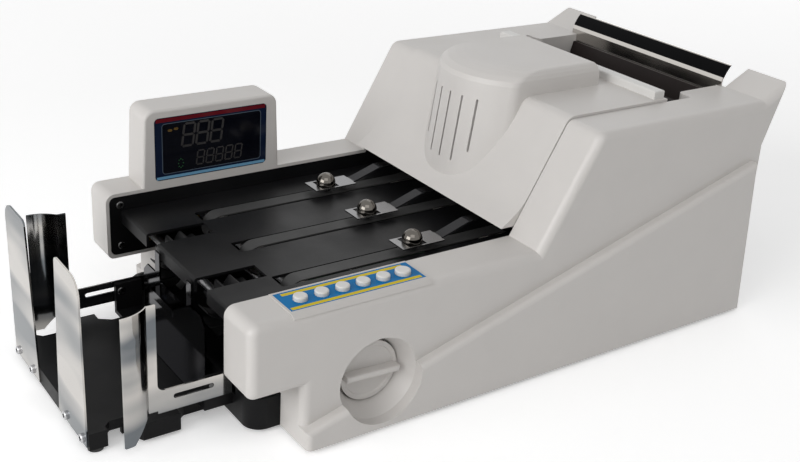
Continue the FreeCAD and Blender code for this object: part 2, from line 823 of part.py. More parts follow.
def shaft(label, x, z, drums, lanes, near_end="-channel_half-plate_sheet-1"):
    """A shaft between the frame plates with its drums, and pulleys in the far cover."""
    piece = Piece(label)
    steps = []
    at = near_end
    for start, end, radius in drums:
        steps += [(at, start, "shaft_radius"), (start, end, radius)]
        at = end
    for lane in sorted(lanes):
        start = lane_start(lane)
        end = f"{start}+pulley_width"
        steps += [(at, start, "shaft_radius"), (start, end, "pulley_radius")]
        at = end
    steps.append((at, f"{at}+1.5" if lanes else "channel_half+plate_sheet+1", "shaft_radius"))
    piece.turn("Revolution", stepped(steps), x, z)
    return piece


def drums_at(places, width, radius):
    return [(f"{place}-{width}/2", f"{place}+{width}/2", radius) for place in places]


def rollers():
    lanes = ["-belt_pitch", "0", "belt_pitch"]
    deck_drums = drums_at(lanes, "roller_width", "roller_radius")
    shaft("deck_idler_roller", "idler_x", ROLLER_Z, deck_drums, [])
    shaft("deck_drive_roller", "driver_x", ROLLER_Z, deck_drums, [1, 2])
    pair = ["-drum_y", "drum_y"]
    shaft("feed_roller", "feed_x", "feed_z", drums_at(pair, "drum_width", "feed_radius"), [0, 2, 3])
    shaft("pickup_roller", "pick_x", "pick_z", drums_at(pair, "drum_width", "pick_radius"), [3])
    shaft("drive_shaft", "knob_x", "knob_z", [], [0, 1], f"{KNOB_FACE}+knob_web+fit_gap")


def stacker_wheels():
    """A shaft with two wheels of curved vanes that lay each note down in the stacker."""
    shaft("stacker_shaft", "wheel_x", "wheel_z", [], [0])
    members = []
    for side in (NEAR, FAR):
        wheel = Piece("Wheel", finished=False)
        start = f"{side}*wheel_y-wheel_width/2"
        end = f"{side}*wheel_y+wheel_width/2"
        centre = ("wheel_x", "wheel_z")
        hub = [("circle", "0", "0", "hub_radius"), ("circle", "0", "0", "shaft_radius+run_gap")]
        wheel.pad("XZ", hub, start, end, centre=centre)
        root = "hub_radius-0.8"
        reach = "wheel_radius*0.8"
        fall = "wheel_radius*0.6"
        vane = [
            (root, "0", "-wheel_radius*0.9"), (reach, f"-({fall})"),
            (f"{reach}-vane_thick*0.6", f"-({fall})-vane_thick*0.7", "wheel_radius*0.9-vane_thick"),
            (root, "-vane_thick"),
        ]
        blade = wheel.pad("XZ", [vane], start, end, centre=centre)
        ring = wheel.body.newObject("PartDesign::PolarPattern", "Vanes")
        ring.Originals = [blade]
        ring.Axis = (blade.Profile[0], ["N_Axis"])
        ring.Angle = 360
        bind(ring, "Occurrences", "vane_count")
        wheel.body.Tip = ring
        DOC.recompute()
        members.append(wheel.body)
    group("stacker_wheels", members)


def drive_belts():
    """Belts in the far cover that carry the motor's turn to every shaft."""
    runs = [
        ("feed_x", "feed_z", "motor_x", "motor_z", 0), ("wheel_x", "wheel_z", "knob_x", "knob_z", 0),
        ("knob_x", "knob_z", "driver_x", ROLLER_Z, 1), ("driver_x", ROLLER_Z, "feed_x", "feed_z", 2),
        ("feed_x", "feed_z", "pick_x", "pick_z", 3),
    ]
    members = []
    for number, (x_one, z_one, x_two, z_two, lane) in enumerate(runs):
        belt = Piece(f"DriveBelt{number}", finished=False)
        start = f"{lane_start(lane)}+(pulley_width-drive_belt_width)/2"
        inner = "pulley_radius+belt_gap"
        loops = [belt_loop(x_one, z_one, x_two, z_two, f"{inner}+belt_thick"),
                 belt_loop(x_one, z_one, x_two, z_two, inner)]
        belt.pad("XZ", loops, start, f"{start}+drive_belt_width")
        members.append(belt.body)
    group("drive_belts", members)


def motor():
    """The main motor on a foot bracket, with its pulley on a shaft of its own."""
    body = Piece("main_motor")
    end_cap = "motor_radius-5"
    body.turn("Revolution", stepped([
        ("-motor_half-8", "-motor_half", end_cap), ("-motor_half", "motor_half", "motor_radius"),
        ("motor_half", "motor_half+8", end_cap),
    ]), "motor_x", "motor_z")
    foot = [
        ("motor_x-24", "pan_wall"), ("motor_x+24", "pan_wall"), ("motor_x+24", "pan_wall+3"),
        ("motor_x+14", "motor_z-16"), ("motor_x-14", "motor_z-16"), ("motor_x-24", "pan_wall+3"),
    ]
    body.pad("XZ", [foot], "-motor_half+6", "motor_half-6")
    body.turn("Groove", [("-motor_half-9", "0"), ("-motor_half-9", "shaft_radius+run_gap"),
                         ("motor_half+9", "shaft_radius+run_gap"), ("motor_half+9", "0")],
              "motor_x", "motor_z")
    shaft("motor_shaft", "motor_x", "motor_z", [], [0], "-motor_half-6")


def knob():
    """The hand knob: a ringed disc with a tapered grip bar across it."""
    piece = Piece("hand_knob")
    face = KNOB_FACE
    back = f"{face}+knob_thick"
    ring = "knob_radius-3*knob_rim"
    profile = [
        (back, "shaft_radius+run_gap"), (back, "knob_radius"), (f"{face}-knob_rim", "knob_radius"),
        (f"{face}-knob_rim", ring), (face, f"{ring}-knob_rim"), (face, "0"),
        (f"{face}+knob_web", "0"), (f"{face}+knob_web", "shaft_radius+run_gap"),
    ]
    piece.turn("Revolution", profile, "knob_x", "knob_z")
    grip = block("-(knob_radius-1)", "-grip_width/2", "knob_radius-1", "grip_width/2")
    piece.pad("XZ", [grip], f"{face}+1", f"{face}-grip_height", centre=("knob_x", "knob_z"), turn="grip_tilt")
    crest = f"{face}-grip_height"
    piece.round("grip_width*0.3", lambda ends: len(ends) == 2 and all(near_to(p.y, crest) for p in ends))


def lid_profile(wall):
    """The top cover's section drawn in by a wall; the inner one runs out below and behind."""
    bend = f"({wall})*{SLOPE_INSET}"
    if wall == "0":
        return [
            ("lip_x", "lip_z"), ("lip_bend_x", "lip_bend_z"), ("slope_top", "lid_top"),
            ("lid_rear", "lid_top"), ("lid_rear", "lid_rear_bottom"), ("slope_top+40", "lid_rear_bottom"),
            ("lip_bend_x+20", "lip_z"),
        ]
    return [
        (f"lip_x+2*{wall}", f"lip_z-{wall}"), (f"lip_bend_x+1.3*{wall}", f"lip_bend_z-{wall}"),
        (f"slope_top+{bend}", f"lid_top-{wall}"), (f"lid_rear-{wall}", f"lid_top-{wall}"),
        (f"lid_rear-{wall}", "lip_z-40"), (f"lip_x+2*{wall}", "lip_z-40"),
    ]


def dome_ring(nose, inset):
    """A plan section of the dome: a wide arc for the nose, tight corner arcs and straight flanks."""
    flank = f"(dome_half-({inset}))"
    bend = f"(nose_arc-({inset}))"
    turn = f"(dome_corner-({inset}))"
    rear = f"dome_rear-({inset})"
    # each corner arc touches the flank and, from inside, the nose arc
    apart = "(nose_arc-dome_corner)"
    aside = f"({flank}-{turn})"
    back = f"sqrt({apart}^2-{aside}^2)"
    start = f"{nose}+nose_arc-{back}"
    touch_x = f"{nose}+nose_arc-{bend}*{back}/{apart}"
    touch_y = f"{bend}*{aside}/{apart}"
    return [
        (rear, f"-{flank}"), (rear, flank), (start, flank, turn), (touch_x, touch_y, bend),
        (f"{nose}+{inset}", "0", bend), (touch_x, f"-{touch_y}", turn), (start, f"-{flank}"),
    ]


BROW_ANGLES = (0, 20, 40, 60, 75, 90)


def crosswise(piece, radius, reach, level):
    """Round the edge that runs across the cover at a level, in front of a place."""
    piece.round(radius, lambda ends: len(ends) == 2 and abs(ends[0].y - ends[1].y) > size("lid_half")
                and all(near_to(p.z, level) for p in ends) and max(p.x for p in ends) < size(reach),
                shifted=False)


def lid_solid(label, wall):
    """The top cover as a full solid: its section carried across, with the dome lofted on it."""
    half = f"lid_half-({wall})"
    shell = Piece(label, finished=False)
    shell.pad("XZ", [lid_profile(wall)], f"-({half})", half)
    crosswise(shell, "lid_bend", "slope_top+5", f"lid_top-({wall})")
    crosswise(shell, f"lip_round+{wall}", "lip_bend_x+5", f"lip_bend_z-({wall})")
    # plan sections from the foot to the crown; above the brow they turn over in a quarter ellipse
    rings = [("nose_low", "-dome_draft", "dome_low")]
    for angle in BROW_ANGLES:
        over = f"(1-cos({angle}))"
        rings.append((f"nose_brow+(nose_top-nose_brow)*{over}", f"dome_round*{over}",
                      f"dome_brow+(dome_top-dome_brow-({wall}))*sin({angle})"))
    dome = Piece(f"{label}Dome", finished=False)
    drawings = []
    for nose, inset, level in rings:
        drawings.append(dome.sketch("XY", [dome_ring(nose, f"{inset}+{wall}")], level))
    loft = dome.body.newObject("PartDesign::AdditiveLoft", "Loft")
    loft.Profile = drawings[0]
    loft.Sections = drawings[1:]
    loft.Ruled = True
    DOC.recompute()
    return shell, dome


def top_cover():
    """The hinged centre cover: sloped front with a lip, a vented dome and two hinge lugs."""
    shell, dome = lid_solid("LidOuter", "0")
    inner_shell, inner_dome = lid_solid("LidInner", "cover_wall")
    # the dome starts on the slope, so what hangs under the cover's section is trimmed away
    under = Piece("LidUnder", finished=False)
    below = [
        ("lip_x-60", "lip_z-60"), ("lip_x-60", "lip_z"), ("lip_x", "lip_z"), ("lip_bend_x", "lip_bend_z"),
        ("slope_top", "lid_top"), ("lid_rear", "lid_top"), ("lid_rear", "lip_z-60"),
    ]
    under.pad("XZ", [below], "-lid_half", "lid_half")
    crosswise(under, "lid_bend", "slope_top+5", "lid_top")
    bump = DOC.addObject("Part::Cut", "Bump")
    bump.Base = dome.body
    bump.Tool = under.body
    outside = join([shell.body, bump])
    inside = join([inner_shell.body, inner_dome.body])
    cup = DOC.addObject("Part::Cut", "LidCup")
    cup.Base = outside
    cup.Tool = inside
    vents = []
    for place in range(-2, 3):
        bottom = "vent_bottom+vent_step" if abs(place) == 2 else "vent_bottom"
        slot = Piece("Vent", finished=False)
        middle = f"{place}*vent_pitch"
        slot.pad("YZ", [round_block(f"({middle}-vent_width/2)", bottom, f"({middle}+vent_width/2)",
                                    "vent_top", "vent_width*0.49")], "nose_low-20", "nose_low+60")
        vents.append(slot.body)
    vented = DOC.addObject("Part::Cut", "LidVented")
    vented.Base = cup
    vented.Tool = join(vents)
    lugs = []
    for side in (NEAR, FAR):
        lug = Piece("Lug", finished=False)
        ear = [
            ("hinge_x-lug_radius", "lid_top-cover_wall/2"), ("hinge_x-lug_radius", "hinge_z", "lug_radius"),
            ("hinge_x", "hinge_z-lug_radius", "lug_radius"), ("hinge_x+lug_radius", "hinge_z"),
            ("hinge_x+lug_radius", "lid_top-cover_wall/2"),
        ]
        bore = ("circle", "hinge_x", "hinge_z", "hinge_pin+run_gap")
        lug.pad("XZ", [ear, bore], f"{side}*(lid_half-cover_wall-4)", f"{side}*lid_half")
        lugs.append(lug.body)
    solid = DOC.addObject("Part::Cut", "LidBored")
    solid.Base = join([vented] + lugs)
    solid.Tool = rod("hinge_x", "-lid_half-1", "hinge_z", "y", "hinge_pin+run_gap", "2*lid_half+2")
    keep(solid, "top_cover")


def gate_strip():
    """The pale strip along the cover's rear edge that the note stack leans on."""
    strip = Piece("hopper_gate_strip")
    strip.pad("XY", [block("strip_front", "-strip_half", "strip_rear", "strip_half")], "lid_top", "strip_top")
    strip.round("1.2", lambda ends: len(ends) == 2 and all(near_to(p.z, "strip_top") for p in ends))


def hinge_pins():
    members = []
    for side in (NEAR, FAR):
        axis = "-y" if side == FAR else "y"
        start = f"{side}*(channel_half+plate_sheet)"
        members.append(rod("hinge_x", start, "hinge_z", axis, "hinge_pin", "plate_sheet+cover_wall+4"))
    group("cover_hinge_pins", members)


def hopper_tray():
    """The black note chute with a steep upper end and slots for the pick-up wheels."""
    tray = Piece("hopper_tray")
    run = "sqrt((tray_knee_x-tray_low_x)^2+(tray_knee_z-tray_low_z)^2)"
    fall_x = f"((tray_knee_z-tray_low_z)/{run}*tray_sheet)"
    fall_z = f"((tray_knee_x-tray_low_x)/{run}*tray_sheet)"
    section = [
        ("tray_top_x", "tray_top_z"), ("tray_knee_x", "tray_knee_z"), ("tray_low_x", "tray_low_z"),
        (f"tray_low_x+{fall_x}", f"tray_low_z-{fall_z}"), ("tray_knee_x+tray_sheet", f"tray_knee_z-{fall_x}"),
        ("tray_top_x+tray_sheet", "tray_top_z"),
    ]
    tray.pad("XZ", [section], "-tray_half", "tray_half")
    lower = "(cheek_front-2)"
    rise = f"(tray_low_z+({lower}-tray_low_x)*(tray_knee_z-tray_low_z)/(tray_knee_x-tray_low_x))"
    shelf = [
        ("tray_low_x", "tray_low_z"), (f"tray_low_x+{fall_x}", f"tray_low_z-{fall_z}"),
        (f"{lower}+{fall_x}", f"{rise}-{fall_z}"), (lower, rise),
    ]
    for side in (NEAR, FAR):
        tray.pad("XZ", [shelf], f"{side}*(tray_half-1)", f"{side}*(channel_half-fit_gap)")
    slots = []
    for side in (NEAR, FAR):
        middle = f"{side}*drum_y"
        slots.append(block("pick_x-7.5-tray_slot/2", f"{middle}-drum_width/2-2", "pick_x-7.5+tray_slot/2",
                           f"{middle}+drum_width/2+2"))
    tray.cut("XY", slots, "tray_top_z", "tray_low_z-10")


def hopper_rear_plate():
    """A bright sheet behind the notes whose top edge flares to the rear."""
    plate = Piece("hopper_rear_plate")
    flare = [
        ("back_x", "back_bend", "-30"), ("back_top_x", "back_top"),
        ("back_top_x+back_sheet", "back_top-0.4", "30+back_sheet"), ("back_x+back_sheet", "back_bend"),
    ]
    plate.pad("XZ", [flare], "-back_half", "back_half")
    shoulder = "panel_top+2*fit_gap"
    plate.pad("XZ", [block("back_x", shoulder, "back_x+back_sheet", "back_bend")], "-back_half", "back_half")
    stem = block("back_x", "back_bottom", "back_x+back_sheet", shoulder)
    plate.pad("XZ", [stem], "-tray_half", "tray_half")


def ball_arms():
    """Three sprung strips: an eye on the rod, a narrow sloped run and a flat end with a ball window."""
    for name, lane in (("far", 1), ("middle", 0), ("near", -1)):
        arm = Piece(f"ball_arm_{name}")
        start = f"{lane}*belt_pitch-arm_half"
        end = f"{lane}*belt_pitch+arm_half"
        strip = [
            ("arm_tip", "arm_low"), ("arm_bend", "arm_low"), ("arm_rise", "arm_high"), ("rod_x", "arm_high"),
            ("rod_x", "arm_high+arm_sheet"), ("arm_rise-0.2", "arm_high+arm_sheet"),
            ("arm_bend-0.4", "arm_low+arm_sheet"), ("arm_tip", "arm_low+arm_sheet"),
        ]
        arm.pad("XZ", [strip], start, end)
        eye = ("circle", "rod_x", ROD_Z, "rod_radius+run_gap+eye_wall")
        arm.pad("XZ", [eye], start, end)
        arm.cut("XZ", [("circle", "rod_x", ROD_Z, "rod_radius+run_gap")], start, end)
        middle = f"{lane}*belt_pitch"
        sides = [block("arm_bend-2", f"{middle}+{way}*arm_neck", "rod_x-rod_radius-2*eye_wall",
                       f"{middle}+{way}*(arm_half+1)") for way in (NEAR, FAR)]
        arm.cut("XY", sides, "arm_high+2*arm_sheet", "arm_low-1")
        window = block("ball_x-ball_window", f"{middle}-ball_window", "ball_x+ball_window",
                       f"{middle}+ball_window")
        arm.cut("XY", [window], "arm_high", "arm_low-1")
        ball = DOC.addObject("Part::Sphere", "Ball")
        bind(ball, "Radius", "ball_radius")
        bind(ball, "Placement.Base.x", "ball_x")
        bind(ball, "Placement.Base.y", middle)
        bind(ball, "Placement.Base.z", "deck_top+belt_proud+fit_gap+ball_radius")
        group(f"steel_ball_{name}", [ball])
    reach = "(channel_half+plate_sheet)"
    group("arm_pivot_rod", [rod("rod_x", f"-{reach}", ROD_Z, "y", "rod_radius", f"2*{reach}")])


def stacker_base():
    """A low black moulding in front of the pan, with lugs at its sides and two wing cheeks."""
    base = Piece("stacker_base")
    outline = [("pan_front", "-base_half")]
    for side, order in ((NEAR, 1), (FAR, -1)):
        edge = f"{side}*base_half"
        middle = f"{side}*lug_mid_half"
        front = f"{side}*lug_front_half"
        points = [
            ("lug_mid_end+8", edge), ("lug_mid_end", f"{side}*(lug_mid_half-8)"), ("lug_mid_end", middle),
            ("lug_mid_start", middle), ("lug_mid_start-8", edge), ("lug_front_end+4", edge),
            ("lug_front_end", f"{side}*(base_half+4)"), ("lug_front_end", front), ("base_front", front),
        ]
        outline += points[::order]
    outline.append(("pan_front", "base_half"))
    base.pad("XY", [outline], "0", "base_height")
    base.cut("XY", [block("base_front+base_wall", "-base_half+base_wall", "pan_front-base_wall",
                          "base_half-base_wall")], "0", "base_height-base_wall")
    arch = block("lug_front_end+1", "-1", "lug_mid_start-9", "base_height/2-1")
    base.cut("XZ", [arch], "-lug_mid_half-1", "lug_mid_half+1")
    for side in (NEAR, FAR):
        foot = block("cheek_start", f"{side}*(base_half-2)", "pan_front", f"{side}*(wing_y-slide_gap)")
        base.pad("XY", [foot], "base_height-base_wall", "base_height")
        cheek = block("cheek_start", "base_height-base_wall", "pan_front", "cheek_height")
        base.pad("XZ", [cheek], f"{side}*(wing_y-cheek_wall)", f"{side}*(wing_y-slide_gap)")
        hole = ("circle", "wing_screw_x", "(wing_slot_low+wing_slot_high)/2", "screw_shank+run_gap")
        base.cut("XZ", [hole], f"{side}*(wing_y-cheek_wall)", f"{side}*wing_y")
        taps = [("circle", f"{side}*({y})", "stop_screw_z", "screw_shank+run_gap") for y in STOP_SCREWS]
        base.cut("YZ", taps, "base_front", "base_front+8")


STOP_SCREWS = ("stop_screw_first", "stop_screw_last")


def stop_plates():
    """Two bright upright plates that stop the notes, each on two screws."""
    screws = []
    for label, side in (("near_stop_plate", NEAR), ("far_stop_plate", FAR)):
        plate = Piece(label)
        outline = [
            (f"{side}*stop_inner", "stop_bottom"), (f"{side}*stop_outer", "stop_bottom"),
            (f"{side}*stop_outer", "stop_top"), (f"{side}*(stop_inner+stop_lean)", "stop_top"),
        ]
        front = "base_front-stop_sheet"
        plate.pad("YZ", [outline], "base_front", front)
        taps = [("circle", f"{side}*({y})", "stop_screw_z", "screw_shank+run_gap") for y in STOP_SCREWS]
        plate.cut("YZ", taps, "base_front", front)
        for radius, edge in (("stop_round", "stop_outer"), ("stop_round/3", "stop_inner+stop_lean")):
            plate.round(radius, lambda ends: len(ends) == 2 and all(near_to(p.z, "stop_top") for p in ends)
                        and all(near_to(abs(p.y), edge) for p in ends))
        for y in STOP_SCREWS:
            screws.append(screw(front, f"{side}*({y})", "stop_screw_z", "-x", "6"))
    return screws


def wings():
    """Two bright side guides: a flared upright sheet on a slotted arm that slides lengthwise."""
    screws = []
    for label, side in (("near_wing", NEAR), ("far_wing", FAR)):
        wing = Piece(label)
        inner = f"{side}*wing_y"
        outer = f"{side}*(wing_y+wing_sheet)"
        arm = [
            ("wing_root-6", "wing_arm_low"), ("wing_arm_end", "wing_arm_low"),
            ("wing_arm_end", "wing_arm_high"), ("wing_root+5", "wing_arm_high", "-5"),
            ("wing_root", "wing_arm_high+5"), ("wing_root", "wing_top"), ("wing_root-6", "wing_top"),
        ]
        wing.pad("XZ", [arm], inner, outer)
        slot = round_block("wing_slot_start", "wing_slot_low", "wing_slot_end", "wing_slot_high", "1.6")
        wing.cut("XZ", [slot], inner, outer)
        tip = f"{side}*wing_tip_y"
        bend = f"{side}*wing_arc"
        flare = [
            ("wing_root-6", inner, bend), ("wing_tip_x", tip),
            ("wing_tip_x+0.5", f"{side}*(wing_tip_y+wing_sheet)", f"-({side})*(wing_arc+wing_sheet)"),
            ("wing_root-6", outer),
        ]
        wing.pad("XY", [flare], "wing_bottom", "wing_top")
        corner = [("wing_root", "wing_bottom-1"), ("wing_tip_x+6", "wing_bottom-1"),
                  ("wing_root-6", "wing_rise"), ("wing_root", "wing_rise")]
        wing.cut("XZ", [corner], f"{side}*(wing_y-5)", f"{side}*(wing_tip_y+5)")
        axis = "y" if side == NEAR else "-y"
        screws.append(screw("wing_screw_x", f"{side}*(wing_y-cheek_wall)", "(wing_slot_low+wing_slot_high)/2",
                            axis, "cheek_wall+wing_sheet"))
    return screws


def stacker_back_plate():
    """A bright upright rest behind the notes with two posts and a tongue bent forward."""
    plate = Piece("stacker_back_plate")
    outline = [
        ("-rest_half", "base_height"), ("rest_half", "base_height"), ("rest_half", "rest_shoulder-6"),
        ("rest_half-6", "rest_shoulder"), ("rest_post", "rest_shoulder"), ("rest_post", "rest_top"),
        ("rest_notch", "rest_top"), ("rest_notch", "rest_sill+3", "-3"), ("rest_notch-3", "rest_sill"),
        ("-rest_notch+3", "rest_sill", "-3"), ("-rest_notch", "rest_sill+3"), ("-rest_notch", "rest_top"),
        ("-rest_post", "rest_top"), ("-rest_post", "rest_shoulder"), ("-rest_half+6", "rest_shoulder"),
        ("-rest_half", "rest_shoulder-6"),
    ]
    plate.pad("YZ", [outline], "rest_x-rest_sheet", "rest_x")
    tongue = block("rest_x-rest_tongue", "-rest_notch+4", "rest_x-rest_sheet/2", "rest_notch-4")
    plate.pad("XY", [tongue], "rest_sill-rest_sheet", "rest_sill")
    fold = block("rest_x-rest_tongue", "-rest_notch+4", "rest_x-rest_tongue+rest_sheet", "rest_notch-4")
    plate.pad("XY", [fold], "rest_sill", "rest_sill-6")
    foot = block("rest_x-14", "-rest_half", "rest_x-rest_sheet/2", "rest_half")
    plate.pad("XY", [foot], "base_height", "base_height+rest_sheet")


def display():
    """The counter display on the far wall: housing, dark window and the board behind it."""
    front = "channel_half"
    housing = Piece("display_housing")
    outline = [
        ("display_left", "wall_top"), ("display_right", "wall_top"),
        ("display_right-display_taper", "display_top-display_round", "display_round"),
        ("display_right-display_taper-display_round", "display_top"),
        ("display_left+display_taper+display_round", "display_top", "display_round"),
        ("display_left+display_taper", "display_top-display_round"),
    ]
    housing.pad("XZ", [outline], front, "channel_half+display_depth")
    rear = "channel_half+display_depth"
    housing.round("edge_round", lambda ends: len(ends) == 2 and all(near_to(p.y, rear) for p in ends)
                  and max(p.z for p in ends) > size("wall_top+1"))
    housing.round("2", lambda ends: len(ends) == 2 and all(near_to(p.y, front) for p in ends)
                  and max(p.z for p in ends) > size("wall_top+1"))
    glass = ("window_left", "window_bottom", "window_right", "window_top", "window_round")
    housing.cut("XZ", [round_block(*glass)], front, "channel_half+window_sheet+fit_gap")
    well = [f"({glass[0]}+window_ledge)", f"({glass[1]}+window_ledge)", f"({glass[2]}-window_ledge)",
            f"({glass[3]}-window_ledge)", "(window_round-1)"]
    housing.cut("XZ", [round_block(*well)], front, "channel_half+display_well")
    window = Piece("display_window")
    inset = [f"({glass[0]}+fit_gap/2)", f"({glass[1]}+fit_gap/2)", f"({glass[2]}-fit_gap/2)",
             f"({glass[3]}-fit_gap/2)", "(window_round-fit_gap/2)"]
    window.pad("XZ", [round_block(*inset)], "channel_half+fit_gap", "channel_half+fit_gap+window_sheet")
    board = Piece("display_board")
    edge = [f"({glass[0]}+window_ledge+1)", f"({glass[1]}+window_ledge+1)", f"({glass[2]}-window_ledge-1)",
            f"({glass[3]}-window_ledge-1)"]
    back = "channel_half+display_well"
    board.pad("XZ", [block(*edge)], back, f"{back}-1.6")
    digits = [block("window_left+18", "window_top-25", "window_left+52", "window_top-4"),
              block("window_left+30", "window_bottom+5", "window_left+76", "window_bottom+19")]
    board.pad("XZ", digits, f"{back}-1.6", f"{back}-12")


def key_panel():
    """The key field on the near wall: a wrapped plate, a coloured film, six caps and a board."""
    panel = Piece("key_panel")
    top = "wall_top+run_gap"
    bend_y = "-panel_half+edge_round"
    bend_z = "wall_top-edge_round"
    inside = "(edge_round+run_gap)"
    outside = "(edge_round+run_gap+keys_sheet)"
    wrap = [
        ("-keys_inner", top), ("-keys_inner", f"{top}+keys_sheet"), (bend_y, f"{top}+keys_sheet", outside),
        (f"{bend_y}-{outside}*sin(keys_wrap)", f"{bend_z}+{outside}*cos(keys_wrap)"),
        (f"{bend_y}-{inside}*sin(keys_wrap)", f"{bend_z}+{inside}*cos(keys_wrap)", f"-{inside}"),
        (bend_y, top),
    ]
    panel.pad("YZ", [wrap], "keys_left", "keys_right")
    holes = [("circle", x, "-key_y", f"{radius}+key_gap") for x, radius in KEYS]
    panel.cut("XY", holes, f"{top}+2", f"{top}-1")
    names = ("mode_key", "preset_key", "add_key", "batch_key", "clear_key", "start_key")
    for name, (x, radius) in zip(names, KEYS):
        cap = Piece(name)
        cap.pad("XY", [("circle", x, "-key_y", radius)], "key_foot", "key_top")
        cap.round("1.1", lambda ends: all(near_to(p.z, "key_top") for p in ends))
    board = Piece("key_board")
    sheet = block("keys_left+2", "-panel_half+4", "keys_right-2", "-channel_half-plate_sheet-fit_gap")
    board.pad("XY", [sheet], "key_board_z", "key_board_z+1.6")
    switches = [block(f"{x}-3", "-key_y-3", f"{x}+3", "-key_y+3") for x, radius in KEYS]
    board.pad("XY", switches, "key_board_z+1.6", "key_foot-1.3")


def rear_panel():
    """The steel rear wall on the pan's edge, cut for the inlet module, the socket and vents."""
    panel = Piece("rear_panel")
    half = "channel_half-fit_gap"
    inner = "rear_x"
    outer = "rear_x+rear_sheet"
    panel.pad("YZ", [block(f"-({half})", "pan_height", half, "rear_panel_top")], inner, outer)
    shelf = block("back_x+back_sheet", "rear_panel_top-rear_sheet", "rear_x+rear_sheet/2", "rear_panel_top")
    panel.pad("XZ", [shelf], "-tray_half", "tray_half")
    module = block("inlet_y-inlet_half", "inlet_low", "inlet_y+inlet_half", "inlet_high")
    socket = block("port_y-port_half", "port_z-port_rise", "port_y+port_half", "port_z+port_rise")
    panel.cut("YZ", [module, socket], inner, outer)
    span = "(grille_count-1)*grille_pitch"
    slot = round_block(f"(-({span})/2-1.5)", "grille_low", f"(-({span})/2+1.5)", "grille_high", "1.4")
    panel.repeat(panel.cut("YZ", [slot], inner, outer), span, "grille_count")


def power_inlet():
    """A module with a three-pin inlet below and a frame for the rocker above."""
    module = Piece("power_inlet")
    outer = "rear_x+rear_sheet"
    brim = "inlet_brim"
    body = block("inlet_y-inlet_half+fit_gap/2", "inlet_low+fit_gap/2", "inlet_y+inlet_half-fit_gap/2",
                 "inlet_high-fit_gap/2")
    module.pad("YZ", [body], outer, f"{outer}-inlet_depth")
    rim = round_block(f"(inlet_y-inlet_half-{brim})", f"(inlet_low-{brim})", f"(inlet_y+inlet_half+{brim})",
                      f"(inlet_high+{brim})", "2")
    module.pad("YZ", [rim], outer, f"{outer}+{brim}")
    face = f"{outer}+{brim}"
    mouth = [
        ("inlet_y-12", "inlet_z-8"), ("inlet_y+12", "inlet_z-8"), ("inlet_y+12", "inlet_z+3"),
        ("inlet_y+7", "inlet_z+8"), ("inlet_y-7", "inlet_z+8"), ("inlet_y-12", "inlet_z+3"),
    ]
    module.cut("YZ", [mouth], face, f"{face}-15")
    pins = [block(f"inlet_y{place}-1", f"inlet_z{lift}-2", f"inlet_y{place}+1", f"inlet_z{lift}+2")
            for place, lift in (("-7", "-2"), ("+0", "+2.5"), ("+7", "-2"))]
    module.pad("YZ", pins, f"{face}-16", f"{face}-3")
    frame = block("inlet_y-rocker_half-fit_gap", "switch_z-rocker_rise-2*fit_gap",
                  "inlet_y+rocker_half+fit_gap", "switch_z+rocker_rise+2*fit_gap")
    module.cut("YZ", [frame], face, f"{face}-14")


def power_rocker():
    """A see-saw switch cap: two shallow slopes that meet over a barrel pivot."""
    rocker = Piece("power_rocker")
    axle = "rear_x-2"
    face = "rear_x+rear_sheet+inlet_brim"
    cap = [
        (f"{face}+2.2", "switch_z-rocker_rise"), (f"{face}+0.4", "switch_z"),
        (f"{face}+2.2", "switch_z+rocker_rise"), (axle, "switch_z+rocker_rise-2.6"),
        (f"{axle}-4", "switch_z"), (axle, "switch_z-rocker_rise+2.6"),
    ]
    rocker.pad("XZ", [cap], "inlet_y-rocker_half", "inlet_y+rocker_half")


def display_port():
    """A shielded nine-way socket for a second display."""
    port = Piece("display_port")
    outer = "rear_x+rear_sheet"
    low = "port_z-port_rise+fit_gap/2"
    high = "port_z+port_rise-fit_gap/2"
    body = block("port_y-port_half+fit_gap/2", low, "port_y+port_half-fit_gap/2", high)
    port.pad("YZ", [body], f"{outer}+4", "rear_x-10")
    brim = block("port_y-port_half-6", "port_z-port_rise-1.5", "port_y+port_half+6", "port_z+port_rise+1.5")
    port.pad("YZ", [brim], "rear_x", "rear_x-1")
    holes = []
    for number in range(9):
        row, count, start = (0, number, -4 * 1.4) if number < 5 else (1, number - 5, -3 * 1.4)
        holes.append(("circle", f"port_y+({start + 2.8 * count})", f"port_z+{1.4 - 2.8 * row}", "0.6"))
    port.cut("YZ", holes, f"{outer}+4", "rear_x-6")


def electronics():
    """The main board on posts and the transformer, both on the pan's floor."""
    board = Piece("main_board")
    low = "board_z"
    board.pad("XY", [block("board_left", "-board_half", "board_right", "board_half")], low, f"{low}+1.6")
    corners = [(x, side) for x in ("board_left+5", "board_right-5") for side in (NEAR, FAR)]
    posts = [("circle", x, f"{side}*(board_half-5)", "3") for x, side in corners]
    board.pad("XY", posts, low, "pan_wall")
    chips = [
        block("board_left+20", "-20", "board_left+44", "4"),
        block("board_left+60", "-34", "board_left+78", "-22"),
        block("board_right-46", "20", "board_right-14", "32"),
        block("board_right-40", "-40", "board_right-20", "-20"),
    ]
    board.pad("XY", chips, f"{low}+1.6", f"{low}+5")
    caps = [("circle", f"board_right-{place}", "0", "6") for place in (16, 32)]
    board.pad("XY", caps, f"{low}+1.6", f"{low}+22")
    core = Piece("transformer")
    stack = block("core_x-core_half", "core_y-core_half*0.8", "core_x+core_half", "core_y+core_half*0.8")
    core.pad("XY", [stack], "pan_wall", "pan_wall+core_high")
    coil = round_block("(core_x-core_half*0.7)", "(core_y-core_half*1.3)", "(core_x+core_half*0.7)",
                       "(core_y+core_half*1.3)", "4")
    core.pad("XY", [coil], "pan_wall+6", "pan_wall+core_high-6")


